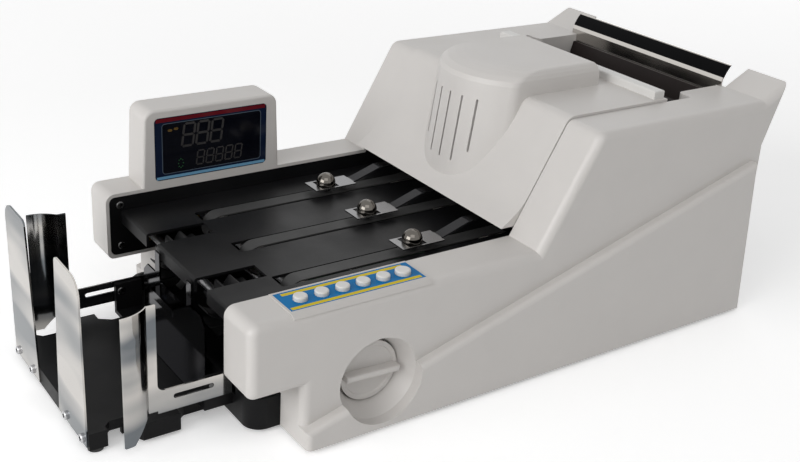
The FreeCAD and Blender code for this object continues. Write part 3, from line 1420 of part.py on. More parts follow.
def note_path():
    """The pieces between the hopper and the deck: separator, lower guide, sensor bar and tie rods."""
    half = "channel_half-fit_gap"
    pad = Piece("separator_bar")
    top = "feed_z+feed_radius"
    bar = block("feed_x-9", f"{top}+7", "feed_x+9", f"{top}+12")
    pad.pad("XZ", [bar], f"-({half})", half)
    for side in (NEAR, FAR):
        shoe = [
            ("feed_x-8", f"{top}+8"), ("feed_x-8", f"{top}+1.4"), ("feed_x-5", f"{top}+note_gap"),
            ("feed_x+5", f"{top}+note_gap"), ("feed_x+8", f"{top}+1.4"), ("feed_x+8", f"{top}+8"),
        ]
        middle = f"{side}*drum_y"
        pad.pad("XZ", [shoe], f"{middle}-drum_width/2", f"{middle}+drum_width/2")
    guide = Piece("lower_guide_plate")
    start_x = "deck_rear+1"
    start_z = "deck_top-0.5"
    end_x = "feed_x-feed_radius-3"
    end_z = f"{top}-6"
    sheet = [
        (start_x, start_z), (end_x, end_z), (end_x, f"{end_z}-deck_sheet"), (start_x, f"{start_z}-deck_sheet"),
    ]
    guide.pad("XZ", [sheet], f"-({half})", half)
    sensors = Piece("sensor_bar")
    low = "deck_top+14"
    case = round_block("(deck_rear+10)", low, "(deck_rear+24)", "(deck_top+26)", "2")
    sensors.pad("XZ", [case], f"-({half})", half)
    eyes = [("circle", "deck_rear+17", f"{lane}*belt_pitch/2", "3") for lane in range(-2, 3)]
    sensors.pad("XY", eyes, low, f"{low}-1.5")
    rods = [rod(x, "-channel_half", z, "y", "tie_radius", "2*channel_half") for x, z in TIES]
    group("tie_rods", rods)


TIES = [("150", "45"), ("300", "66"), ("427", "96")]


def build_all():
    near_side_cover()
    far_side_cover()
    frame_plate("near_frame_plate", NEAR)
    frame_plate("far_frame_plate", FAR)
    shaft_bushes()
    chassis_pan()
    rubber_feet()
    deck_plate()
    transport_belts()
    rollers()
    stacker_wheels()
    drive_belts()
    motor()
    knob()
    top_cover()
    gate_strip()
    hinge_pins()
    hopper_tray()
    hopper_rear_plate()
    ball_arms()
    stacker_base()
    group("pan_head_screws", plate_screws() + stop_plates() + wings())
    stacker_back_plate()
    display()
    key_panel()
    rear_panel()
    power_inlet()
    power_rocker()
    display_port()
    electronics()
    note_path()


def check_all():
    DOC.recompute()
    for thing in DOC.Objects:
        if "Invalid" in thing.State or "Error" in thing.State:
            raise RuntimeError(f"{thing.Name} ({thing.Label}) failed: {thing.State}")
    for piece in PIECES:
        if piece.Shape.isNull() or not piece.Shape.isValid():
            raise RuntimeError(f"{piece.Label} has no valid shape")


def write_all():
    os.makedirs("parts", exist_ok=True)
    for piece in PIECES:
        piece.Shape.exportStep(f"parts/{piece.Label}.step")


build_all()
check_all()
write_all()
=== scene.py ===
import json
import math

import bmesh
import bpy
import numpy as np
from bpy.props import FloatProperty, FloatVectorProperty, PointerProperty
from mathutils import Matrix, Vector

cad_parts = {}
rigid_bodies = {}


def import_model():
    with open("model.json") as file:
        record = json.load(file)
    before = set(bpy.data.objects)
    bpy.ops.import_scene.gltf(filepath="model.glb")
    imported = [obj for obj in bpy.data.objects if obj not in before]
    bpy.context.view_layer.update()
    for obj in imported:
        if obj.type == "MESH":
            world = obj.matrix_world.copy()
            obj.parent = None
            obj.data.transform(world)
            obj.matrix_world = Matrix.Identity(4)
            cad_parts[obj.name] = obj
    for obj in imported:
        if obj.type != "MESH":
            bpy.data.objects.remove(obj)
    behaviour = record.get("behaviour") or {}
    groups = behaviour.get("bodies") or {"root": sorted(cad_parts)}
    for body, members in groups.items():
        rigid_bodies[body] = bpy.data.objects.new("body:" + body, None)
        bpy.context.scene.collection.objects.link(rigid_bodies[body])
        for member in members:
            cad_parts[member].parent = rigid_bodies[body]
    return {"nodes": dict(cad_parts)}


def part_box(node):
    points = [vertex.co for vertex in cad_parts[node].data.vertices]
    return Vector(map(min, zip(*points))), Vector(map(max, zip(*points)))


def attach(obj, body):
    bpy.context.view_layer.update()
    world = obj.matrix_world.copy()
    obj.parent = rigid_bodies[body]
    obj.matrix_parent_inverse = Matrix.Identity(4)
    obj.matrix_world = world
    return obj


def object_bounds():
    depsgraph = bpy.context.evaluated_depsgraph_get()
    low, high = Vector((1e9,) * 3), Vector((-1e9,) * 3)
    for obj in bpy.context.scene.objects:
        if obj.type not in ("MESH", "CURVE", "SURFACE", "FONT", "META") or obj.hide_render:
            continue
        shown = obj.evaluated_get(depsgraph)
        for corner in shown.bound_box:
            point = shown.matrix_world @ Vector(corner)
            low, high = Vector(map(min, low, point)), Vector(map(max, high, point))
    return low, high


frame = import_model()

bl_info = {
    "name": "Banknote counter finishes",
    "version": (1, 0, 0),
    "blender": (4, 5, 0),
    "location": "3D View > Sidebar > Counter",
    "description": "Finishes, printed fields and small parts for a banknote counting machine",
    "category": "Object",
}

CAD_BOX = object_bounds()
# the drawing's zero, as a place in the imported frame: ends of the deck walls and feet of the skirts
DECK_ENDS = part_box("near_side_cover")[0].x
SKIRT_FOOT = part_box("near_side_cover")[0].z


def at(x, y, z):
    """A point given in the drawing's millimetres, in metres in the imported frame."""
    return Vector((DECK_ENDS + x / 1000, y / 1000, SKIRT_FOOT + z / 1000))


def length_property(name, words, value):
    """A length in metres for the sidebar."""
    return FloatProperty(name=name, description=words, default=value, unit="LENGTH")


def colour_property(name, words, value):
    """A colour in linear red, green and blue for the sidebar."""
    return FloatVectorProperty(name=name, description=words, default=value, subtype="COLOR", min=0, max=1)


class CounterSizes(bpy.types.PropertyGroup):
    """Sizes of the printed fields and small parts."""

    large_digit: length_property("Large digit", "Height of the count digits", 0.0172)
    small_digit: length_property("Small digit", "Height of the preset digits", 0.0108)
    digit_lean: FloatProperty(
        name="Digit lean", description="Slant of the digits", default=math.radians(8), subtype="ANGLE")
    bar_share: FloatProperty(
        name="Bar share", description="Width of a digit's bars as a share of its height", default=0.10,
        subtype="FACTOR", min=0.02, max=0.3)
    stripe_width: length_property("Stripe width", "Width of the key field's stripes", 0.003)
    cross_span: length_property("Cross span", "Width of the recess in a screw head", 0.0034)
    cross_slot: length_property("Cross slot", "Width of one slot of that recess", 0.0008)
    lens: FloatProperty(
        name="Lens", description="Focal length of the camera", default=51.8, unit="CAMERA")
    floor_span: length_property("Floor span", "Width of the floor", 8.0)


class CounterColours(bpy.types.PropertyGroup):
    """Colours of the finishes."""

    shell: colour_property("Shell", "Moulded covers", (0.62, 0.597, 0.575))
    pale: colour_property("Pale", "Keys and the hopper's strip", (0.70, 0.69, 0.67))
    black: colour_property("Black", "Moulded base and wheels", (0.006, 0.006, 0.0065))
    chute: colour_property("Chute", "Hopper chute", (0.010, 0.0055, 0.005))
    coat: colour_property("Powder coat", "Frame plates and deck", (0.005, 0.005, 0.0055))
    bright: colour_property("Bright sheet", "Polished sheet metal", (0.56, 0.535, 0.505))
    # painted reflection: the darker level bands stand in for dark surroundings mirrored in the polished sheet
    painted_reflection_band: colour_property("Painted reflection band", "Darker bands of the polished sheet", (0.15, 0.163, 0.175))
    # painted reflection: the stacker's chrome back plate is given a near black colour for the dark
    # surroundings it mirrors
    mirror: colour_property("Dark mirror", "Back plate of the stacker", (0.06, 0.06, 0.065))
    gunmetal: colour_property("Gunmetal", "Screws of the frame plates", (0.10, 0.10, 0.10))
    strip: colour_property("Strip steel", "Flat ends of the arms", (0.25, 0.25, 0.255))
    # painted reflection: the arms' sloped runs are painted near black for the dark cover inside they mirror
    slope_painted_reflection: colour_property("Painted slope reflection", "Sloped runs of the arms", (0.022, 0.022, 0.024))
    steel: colour_property("Steel", "Rods, shafts and screws", (0.52, 0.52, 0.53))
    # painted reflection: the steel is darkened and warmed to stand in for the dark, brownish surroundings the
    # balls mirror
    ball: colour_property("Ball", "Balls of the arms", (0.135, 0.125, 0.112))
    bronze: colour_property("Bronze", "Bushes", (0.45, 0.29, 0.11))
    rubber: colour_property("Rubber", "Belts, drums and feet", (0.028, 0.028, 0.028))
    board: colour_property("Board", "Circuit boards", (0.02, 0.13, 0.05))
    enamel: colour_property("Enamel", "Motor and transformer", (0.10, 0.10, 0.11))
    window: colour_property("Window", "Border of the display window", (0.006, 0.012, 0.034))
    field: colour_property("Field", "Inner field of the window", (0.0025, 0.003, 0.006))
    outline: colour_property("Outline", "Thin line round the inner field", (0.075, 0.10, 0.13))
    warm_strip: colour_property("Warm strip", "Upper strip of the window", (0.13, 0.008, 0.014))
    cool_strip: colour_property("Cool strip", "Lower strip of the window", (0.16, 0.36, 0.54))
    digit: colour_property("Digit", "Unlit digits", (0.028, 0.026, 0.026))
    amber: colour_property("Amber mark", "Small upper mark of the window", (0.10, 0.055, 0.006))
    green: colour_property("Green mark", "Small lower mark of the window", (0.012, 0.07, 0.022))
    film: colour_property("Film", "Key field", (0.0015, 0.165, 0.42))
    stripe: colour_property("Stripe", "Stripes of the key field", (0.68, 0.52, 0.02))
    # painted shade: a near black cross stands in for the shaded inside of each screw's recess
    recess: colour_property("Recess", "Inside of screw recesses", (0.01, 0.01, 0.01))
    floor: colour_property("Floor", "Floor and backdrop", (0.98, 0.98, 0.98))


def sizes():
    """The sizes as the scene holds them."""
    return bpy.context.scene.counter_sizes


def colours():
    """The colours as the scene holds them."""
    return bpy.context.scene.counter_colours


# Shader nodes

VECTOR = "NodeSocketVector"
NUMBER = "NodeSocketFloat"
# the mix node's colour sockets, which come after those for numbers and vectors
MIX_FIRST = 6
MIX_SECOND = 7
MIX_RESULT = 2


def put(tree, socket, value):
    """Link a socket to another one, or set its plain value."""
    if isinstance(value, bpy.types.NodeSocket):
        tree.links.new(value, socket)
    else:
        socket.default_value = value


def node_with(tree, kind, **values):
    """A node with its inputs linked or set by their names, where an underscore stands for a space."""
    node = tree.nodes.new(kind)
    for label, value in values.items():
        put(tree, node.inputs[label.replace("_", " ")], value)
    return node


def operate(tree, kind, operation, values):
    """A node that works on its inputs in their order."""
    node = tree.nodes.new(kind)
    node.operation = operation
    for socket, value in zip(node.inputs, values):
        put(tree, socket, value)
    return node


def number(tree, operation, *values):
    """What an operation makes of numbers."""
    return operate(tree, "ShaderNodeMath", operation, values).outputs["Value"]


def vector(tree, operation, *values):
    """What an operation makes of vectors: a length is a number, all else a vector."""
    node = operate(tree, "ShaderNodeVectorMath", operation, values)
    return node.outputs["Value" if operation == "LENGTH" else "Vector"]


def noise(tree, place, scale, detail):
    """Noise about a half, finer with scale and rougher with detail."""
    return node_with(tree, "ShaderNodeTexNoise", Vector=place, Scale=scale, Detail=detail).outputs["Fac"]


def spread(tree, value, source, target):
    """A value between two levels, carried over to between two others."""
    node = node_with(tree, "ShaderNodeMapRange", Value=value, From_Min=source[0], From_Max=source[1],
                     To_Min=target[0], To_Max=target[1])
    return node.outputs["Result"]


# Shared effects, each a shader node group that puts out only what changes over the surface

# scale of the slow tone: a share of a moulded grain's own, and one for all brushed metal
GRAIN_TONE_SHARE = 0.025
BRUSH_TONE_SCALE = 14.0


def group_of(name, inputs, outputs):
    """An empty node group; returns it with the sockets that bring its inputs and take its outputs."""
    tree = bpy.data.node_groups.new(name, "ShaderNodeTree")
    for label, kind in inputs.items():
        tree.interface.new_socket(label, in_out="INPUT", socket_type=kind)
    for label in outputs:
        tree.interface.new_socket(label, in_out="OUTPUT", socket_type=NUMBER)
    return tree, tree.nodes.new("NodeGroupInput").outputs, tree.nodes.new("NodeGroupOutput").inputs


def grain_group():
    """Fine pimples at a scale, and a slow tone forty times coarser."""
    tree, given, sink = group_of("moulded_grain", {"Vector": VECTOR, "Scale": NUMBER}, ("Height", "Tone"))
    coarse = number(tree, "MULTIPLY", given["Scale"], GRAIN_TONE_SHARE)
    put(tree, sink["Height"], noise(tree, given["Vector"], given["Scale"], detail=3))
    put(tree, sink["Tone"], noise(tree, given["Vector"], coarse, detail=4))
    return tree


def brush_group():
    """Long marks, as noise on coordinates that are squeezed along one direction, and a slow tone."""
    tree, given, sink = group_of(
        "brush_marks", {"Vector": VECTOR, "Squeeze": VECTOR, "Scale": NUMBER}, ("Height", "Tone"))
    squeezed = vector(tree, "MULTIPLY", given["Vector"], given["Squeeze"])
    put(tree, sink["Height"], noise(tree, squeezed, given["Scale"], detail=2))
    put(tree, sink["Tone"], noise(tree, given["Vector"], BRUSH_TONE_SCALE, detail=3))
    return tree


def box_mask_group():
    """One inside the box between two corners, nought outside.

    How far a point lies past the box that is smaller all round by a radius is measured along each
    axis, never below nought. The point is inside where the length of that is under the radius."""
    tree, given, sink = group_of(
        "box_mask", {"Vector": VECTOR, "Low": VECTOR, "High": VECTOR, "Round": NUMBER}, ("Mask",))
    total = vector(tree, "ADD", given["Low"], given["High"])
    middle = vector(tree, "MULTIPLY", total, (0.5, 0.5, 0.5))
    half = vector(tree, "SUBTRACT", given["High"], middle)
    core = vector(tree, "SUBTRACT", half, given["Round"])
    away = vector(tree, "ABSOLUTE", vector(tree, "SUBTRACT", given["Vector"], middle))
    past = vector(tree, "MAXIMUM", vector(tree, "SUBTRACT", away, core), (0, 0, 0))
    put(tree, sink["Mask"], number(tree, "LESS_THAN", vector(tree, "LENGTH", past), given["Round"]))
    return tree


def drum_mask_group():
    """One outside a radius round a cross-wise axis through a centre, nought nearer to it."""
    tree, given, sink = group_of(
        "drum_mask", {"Vector": VECTOR, "Centre": VECTOR, "Radius": NUMBER}, ("Mask",))
    away = vector(tree, "SUBTRACT", given["Vector"], given["Centre"])
    upright = vector(tree, "MULTIPLY", away, (1, 0, 1))
    put(tree, sink["Mask"], number(tree, "GREATER_THAN", vector(tree, "LENGTH", upright), given["Radius"]))
    return tree


MAKERS = {"moulded_grain": grain_group, "brush_marks": brush_group, "box_mask": box_mask_group,
          "drum_mask": drum_mask_group}

# Finishes

# levels between which a slow tone mostly lies
TONE_LEVELS = (0.3, 0.7)
WHOLE = (0.0, 1.0)
BUMP_STRENGTH = 0.6
# corner radius of a mask's box that has plain edges, in metres
SHARP = 0.000002
# a metre, which is past the machine on every side, for the open sides of a mask's box
PAST = 1.0
# scale of brush marks, and how coordinates are squeezed for marks that run one way
MARK_SCALE = 900.0
UPRIGHT = (1, 1, 0.02)
ALONG = (0.03, 1, 1)
ACROSS = (1, 0.03, 1)
LONG_ACROSS = (1, 0.02, 1)
EVERY_WAY = (1, 1, 1)


class Finish:
    """A material on Object coordinates: one Principled shader and the effects that feed it."""

    def __init__(self, name, metallic=0.0, gloss=0.5):
        self.material = bpy.data.materials.new(name)
        self.material.use_nodes = True
        self.tree = self.material.node_tree
        self.shader = next(node for node in self.tree.nodes if node.type == "BSDF_PRINCIPLED")
        self.shader.inputs["Metallic"].default_value = metallic
        self.shader.inputs["Specular IOR Level"].default_value = gloss
        self.place = self.tree.nodes.new("ShaderNodeTexCoord").outputs["Object"]

    def effect(self, name, **values):
        """A shared effect at the piece's own coordinates, with its own values; returns its outputs."""
        node = self.tree.nodes.new("ShaderNodeGroup")
        node.node_tree = bpy.data.node_groups.get(name) or MAKERS[name]()
        for label, value in {"Vector": self.place, **values}.items():
            put(self.tree, node.inputs[label], value)
        return node.outputs

    def patch(self, low, high, corner=SHARP):
        """A mask of the box between two points, with its edges rounded by a corner's radius."""
        return self.effect("box_mask", Low=low, High=high, Round=corner)["Mask"]

    def mix(self, share, first, second):
        """A colour that goes from the first to the second as the share goes from nought to one."""
        node = node_with(self.tree, "ShaderNodeMix", Factor=share)
        node.data_type = "RGBA"
        for socket, colour in ((MIX_FIRST, first), (MIX_SECOND, second)):
            plain = colour if isinstance(colour, bpy.types.NodeSocket) else (*colour, 1)
            put(self.tree, node.inputs[socket], plain)
        return node.outputs[MIX_RESULT]

    def toned(self, colour, effect, drift):
        """A colour that drifts a little either way with an effect's slow tone."""
        darker = [channel * (1 - drift) for channel in colour]
        lighter = [min(channel * (1 + drift), 1) for channel in colour]
        return self.mix(effect["Tone"], darker, lighter)

    def metal(self, mask, inside):
        """Bare metal outside a mask, and as much metal as is said inside it."""
        put(self.tree, self.shader.inputs["Metallic"], spread(self.tree, mask, WHOLE, (1.0, inside)))

    def wear(self, effect, paint, rough, depth):
        """Feed the shader: the paint, a roughness that drifts with the tone, and a shallow bump."""
        bump = node_with(self.tree, "ShaderNodeBump", Strength=BUMP_STRENGTH, Distance=depth,
                         Height=effect["Height"])
        put(self.tree, self.shader.inputs["Base Color"], paint)
        put(self.tree, self.shader.inputs["Roughness"], spread(self.tree, effect["Tone"], TONE_LEVELS, rough))
        put(self.tree, self.shader.inputs["Normal"], bump.outputs["Normal"])
        return self.material


def grained(name, colour, rough=(0.34, 0.46), scale=1600.0, depth=0.00004, drift=0.03, gloss=0.5,
            metallic=0.0):
    """Fine grain with a slow drift of tone, as on moulded plastic and powder coat."""
    finish = Finish(name, metallic, gloss)
    grain = finish.effect("moulded_grain", Scale=scale)
    return finish.wear(grain, finish.toned(colour, grain, drift), rough, depth)


def brushed(name, colour, rough, squeeze, depth=0.000015, drift=0.05):
    """Bare metal with fine marks along one direction."""
    finish = Finish(name, metallic=1.0)
    marks = finish.effect("brush_marks", Squeeze=squeeze, Scale=MARK_SCALE)
    return finish.wear(marks, finish.toned(colour, marks, drift), rough, depth)


def dress(names, material):
    """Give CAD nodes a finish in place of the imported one."""
    for name in names:
        mesh = frame["nodes"][name].data
        mesh.materials.clear()
        mesh.materials.append(material)


# New pieces

# prints stand this far in front of the window's face and are this thick, in metres
PRINT_STAND = 0.00012
PRINT_THICK = 0.0001
HEXAGON_CORNERS = 6


def solid_from(name, points, faces, body, material):
    """Put whole arrays of points and faces into a mesh piece that rides on a body."""
    mesh = bpy.data.meshes.new(name)
    mesh.from_pydata(points.tolist(), [], faces)
    mesh.update()
    mesh.materials.append(material)
    piece = bpy.data.objects.new(name, mesh)
    bpy.context.scene.collection.objects.link(piece)
    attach(piece, body)
    return piece


def prism_faces(corners, count):
    """Faces of many closed prisms: front, back and sides, counted on by whole prisms."""
    ring = np.arange(corners)
    follow = np.roll(ring, -1)
    sides = np.stack([ring, ring + corners, follow + corners, follow], axis=1)
    starts = np.arange(count)[:, None] * 2 * corners
    faces = (starts + ring).tolist() + (starts + ring[::-1] + corners).tolist()
    return faces + (starts[:, None] + sides).reshape(-1, 4).tolist()


def lay_flat(name, outlines, face, finish_name, colour):
    """Thin prisms on the window: six-cornered outlines in x and z, carried a hair's breadth along y."""
    stand = np.full(outlines.shape[:2], face - PRINT_STAND)
    front = np.stack([outlines[..., 0], stand, outlines[..., 1]], axis=-1)
    back = front + np.array([0, PRINT_THICK, 0])
    solid = np.concatenate([front, back], axis=1).reshape(-1, 3)
    faces = prism_faces(HEXAGON_CORNERS, len(outlines))
    material = grained(finish_name, colour, rough=(0.3, 0.4), scale=900.0, depth=0.000004, drift=0.08)
    solid_from(name, solid, faces, "frame", material)


class COUNTER_OT_covers(bpy.types.Operator):
    """Finish the moulded covers, the knob, the keys, the hopper and the base"""

    bl_idname = "counter.covers"
    bl_label = "Covers"

    def execute(self, context):
        shell = grained("shell_plastic", colours().shell)
        dress(["near_side_cover", "far_side_cover", "top_cover", "display_housing", "hand_knob"], shell)
        pale = grained("pale_plastic", colours().pale, rough=(0.28, 0.38), scale=2400.0, depth=0.00002)
        dress(["hopper_gate_strip", "mode_key", "preset_key", "add_key", "batch_key", "clear_key",
               "start_key"], pale)
        black = grained("black_plastic", colours().black, drift=0.15, gloss=0.12)
        dress(["chassis_pan", "stacker_base", "power_inlet", "power_rocker", "stacker_wheels",
               "separator_bar", "sensor_bar"], black)
        dress(["hopper_tray"], grained("chute_plastic", colours().chute, drift=0.12, gloss=0.25))
        return {"FINISHED"}


# Key field, in metres: its two sides across the machine, and its margins at the panel's ends
FIELD_NEAR = -0.1198
FIELD_FAR = -0.096
FIELD_FRONT_MARGIN = 0.0016
FIELD_REAR_MARGIN = 0.0008
# how far down the panel's edge the print reaches
FIELD_DEPTH = 0.0002
# each stripe's middle across the machine, and its margin at both ends of the panel
STRIPES = ((-0.0990, 0.0060), (-0.1172, 0.0030))


class COUNTER_OT_key_field(bpy.types.Operator):
    """Print the key panel: a coloured field with two stripes on a pale plate"""

    bl_idname = "counter.key_field"
    bl_label = "Key field"

    def execute(self, context):
        low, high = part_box("key_panel")
        foot = high.z - FIELD_DEPTH
        half = sizes().stripe_width / 2
        finish = Finish("key_field", gloss=0.06)
        grain = finish.effect("moulded_grain", Scale=2200.0)
        plate = finish.toned(colours().shell, grain, drift=0.03)
        film = finish.toned(colours().film, grain, drift=0.08)
        field = finish.patch(
            (low.x + FIELD_FRONT_MARGIN, FIELD_NEAR, foot), (high.x - FIELD_REAR_MARGIN, FIELD_FAR, PAST))
        paint = finish.mix(field, plate, film)
        for middle, margin in STRIPES:
            stripe = finish.patch(
                (low.x + margin, middle - half, foot), (high.x - margin, middle + half, PAST))
            paint = finish.mix(stripe, paint, colours().stripe)
        dress(["key_panel"], finish.wear(grain, paint, rough=(0.28, 0.38), depth=0.00002))
        return {"FINISHED"}


# Printed patches of the display window, in metres: colour, margins from the window's left, foot,
# right and head, and corner radius
WINDOW_PATCHES = (
    ("warm_strip", 0.0012, 0.0448, 0.0012, 0.0006, SHARP),
    ("cool_strip", 0.0012, 0.0006, 0.0012, 0.0455, SHARP),
    ("outline", 0.0056, 0.0043, 0.0046, 0.0046, 0.0028),
    ("field", 0.0062, 0.0049, 0.0052, 0.0052, 0.0022),
)


class COUNTER_OT_window(bpy.types.Operator):
    """Finish the display window: a dark field in a thin outline, a strip along its top and bottom"""

    bl_idname = "counter.window"
    bl_label = "Display window"

    def execute(self, context):
        low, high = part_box("display_window")
        finish = Finish("smoked_window", gloss=0.3)
        grain = finish.effect("moulded_grain", Scale=500.0)
        paint = finish.toned(colours().window, grain, drift=0.1)
        for colour, left, foot, right, head, corner in WINDOW_PATCHES:
            patch = finish.patch(
                (low.x + left, -PAST, low.z + foot), (high.x - right, PAST, high.z - head), corner)
            paint = finish.mix(patch, paint, finish.toned(getattr(colours(), colour), grain, drift=0.06))
        dress(["display_window"], finish.wear(grain, paint, rough=(0.06, 0.12), depth=0.000004))
        return {"FINISHED"}


# Rows of digits, in metres from the window's lower left corner
COUNT_ROW = {"left": 0.0225, "foot": 0.0243, "count": 3, "pitch": 0.0114}
PRESET_ROW = {"left": 0.0335, "foot": 0.0082, "count": 5, "pitch": 0.0078}
# half a bar's length as a share of the digit's height
BAR_REACH = 0.235
# how far the upright bars stand off the level ones' ends, as a share of half a bar's width
BAR_GAP = 0.4


class COUNTER_OT_digits(bpy.types.Operator):
    """Lay unlit seven-bar digits on the display window"""

    bl_idname = "counter.digits"
    bl_label = "Digits"

    def execute(self, context):
        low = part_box("display_window")[0]
        rows = ((sizes().large_digit, COUNT_ROW), (sizes().small_digit, PRESET_ROW))
        outlines = np.concatenate([self.bars(low, height, **row) for height, row in rows])
        lay_flat("display_digits", outlines, low.y, "unlit_digit", colours().digit)
        return {"FINISHED"}

    def bars(self, corner, height, left, foot, count, pitch):
        """Corners of every bar of a row of digits.

        One bar is a flat hexagon along x. It is turned upright for the four side bars, carried to
        its place in the digit, leaned by a shear and repeated along the row by whole steps."""
        half = height * BAR_REACH
        thick = height * sizes().bar_share / 2
        level = np.array([[-half, 0], [-half + thick, -thick], [half - thick, -thick], [half, 0],
                          [half - thick, thick], [-half + thick, thick]])
        upright = level[:, ::-1] * np.array([-1, 1])
        step = height / 4
        wide = half + thick * BAR_GAP
        bars = np.concatenate([
            level[None] + np.array([[0, 2 * step], [0, 0], [0, -2 * step]])[:, None],
            upright[None] + np.array([[-wide, step], [wide, step], [-wide, -step], [wide, -step]])[:, None],
        ])
        bars[..., 0] += math.tan(sizes().digit_lean) * bars[..., 1]
        along = corner.x + left + wide + pitch * np.arange(count)
        places = np.stack([along, np.full(count, corner.z + foot + height / 2)], axis=1)
        return (bars[None] + places[:, None, None]).reshape(-1, HEXAGON_CORNERS, 2)


# Amber marks, in metres: places from the window's upper left corner, half width and half height
AMBER_PLACES = ((0.0122, -0.0103), (0.0170, -0.0096))
AMBER_HALF = (0.0020, 0.0011)
# Ring of green dots, in metres: middle from the window's lower left corner, half width and half
# height of the ring, radius of a dot
GREEN_PLACE = (0.0204, 0.0113)
GREEN_HALF = (0.0020, 0.0034)
GREEN_DOT = 0.00055
GREEN_DOTS = 8


class COUNTER_OT_marks(bpy.types.Operator):
    """Lay two amber marks and a ring of green dots on the display window"""

    bl_idname = "counter.marks"
    bl_label = "Marks"

    def execute(self, context):
        low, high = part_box("display_window")
        hexagon = self.around(HEXAGON_CORNERS)
        places = np.array(AMBER_PLACES) + np.array([low.x, high.z])
        amber = hexagon[None] * np.array(AMBER_HALF) + places[:, None]
        lay_flat("amber_marks", amber, low.y, "amber_mark", colours().amber)
        middle = np.array(GREEN_PLACE) + np.array([low.x, low.z])
        dots = middle + self.around(GREEN_DOTS) * np.array(GREEN_HALF)
        green = hexagon[None] * GREEN_DOT + dots[:, None]
        lay_flat("green_marks", green, low.y, "green_mark", colours().green)
        return {"FINISHED"}

    def around(self, count):
        """Points at equal angles round a circle of radius one: cosine and sine of each angle."""
        angles = np.arange(count) * math.tau / count
        return np.stack([np.cos(angles), np.sin(angles)], axis=1)


# Screws, in the drawing's millimetres: height of a head, and the faces and places the heads sit on
HEAD_HEIGHT = 1.8
FRAME_FACE = 93.5
FRAME_SCREWS = ((10.5, 84.5), (10.5, 52.5))
STOP_FACE = -79.2
STOP_SCREWS = ((31.5, 5.6), (60.0, 5.6))
WING_FACE = 70.8
WING_SCREWS = ((0.0, 27.7),)
# how far a recess's dark cross stands proud of its head and reaches into it, in metres
CROSS_STAND = 0.00006
CROSS_DEPTH = 0.0001


class COUNTER_OT_screw_recesses(bpy.types.Operator):
    """Set a dark cross on every screw head: painted shade where its recess lies"""

    bl_idname = "counter.screw_recesses"
    bl_label = "Screw recesses"

    def execute(self, context):
        heads, ways = self.heads()
        ring = self.cross()
        material = grained("recess_shadow", colours().recess, rough=(0.45, 0.6), scale=3000.0, depth=0.00001,
                           drift=0.2, metallic=0.4)
        piece = solid_from("screw_recesses", self.prisms(ring, heads, ways),
                           prism_faces(len(ring), len(heads)), "frame", material)
        self.outward(piece.data)
        return {"FINISHED"}

    def heads(self):
        """Centres of the visible head faces and their outward ways, at the drawing's own places."""
        sides = (-1, 1)
        screws = [(x, side * (face - HEAD_HEIGHT), z, (0, -side, 0))
                  for face, places in ((FRAME_FACE, FRAME_SCREWS), (WING_FACE, WING_SCREWS))
                  for side in sides for x, z in places]
        screws += [(STOP_FACE - HEAD_HEIGHT, side * y, z, (-1, 0, 0))
                   for side in sides for y, z in STOP_SCREWS]
        centres = np.array([at(*screw[:3]) for screw in screws])
        return centres, np.array([screw[3] for screw in screws], float)

    def cross(self):
        """Outline of a cross: three corners of one arm, turned by quarter turns."""
        wide = sizes().cross_span / 2
        slim = sizes().cross_slot / 2
        arm = np.array([[slim, slim], [slim, wide], [-slim, wide]])
        quarter = np.array([[0, -1], [1, 0]])
        return np.concatenate([arm @ np.linalg.matrix_power(quarter, turn) for turn in range(4)])

    def prisms(self, ring, heads, ways):
        """The outline laid in each head's plane and carried along its way, from proud to inside.

        The plane's two directions are the way crossed with the upright, and the way crossed with
        the first of them."""
        first = np.cross(ways, np.array([0.0, 0.0, 1.0]))
        second = np.cross(ways, first)
        flat = ring[None, :, :1] * first[:, None] + ring[None, :, 1:] * second[:, None]
        front = heads[:, None] + flat + CROSS_STAND * ways[:, None]
        back = heads[:, None] + flat - CROSS_DEPTH * ways[:, None]
        return np.concatenate([front, back], axis=1).reshape(-1, 3)

    def outward(self, mesh):
        """Turn all faces outwards."""
        work = bmesh.new()
        work.from_mesh(mesh)
        bmesh.ops.recalc_face_normals(work, faces=work.faces)
        work.to_mesh(mesh)
        work.free()


# Level bands of painted reflection on the polished sheet: squeeze and scale, and the levels between which the
# dark painted reflection turns to bright sheet
REFLECTION_BAND_SQUEEZE = (0.2, 0.2, 1)
REFLECTION_BAND_SCALE = 26.0
REFLECTION_BAND_LEVELS = (0.40, 0.54)
# Hopper's rear plate, in metres down from its upper edge: end of the bare edge, and of the lacquer
BARE_EDGE = 0.0006
LACQUER_END = 0.0095


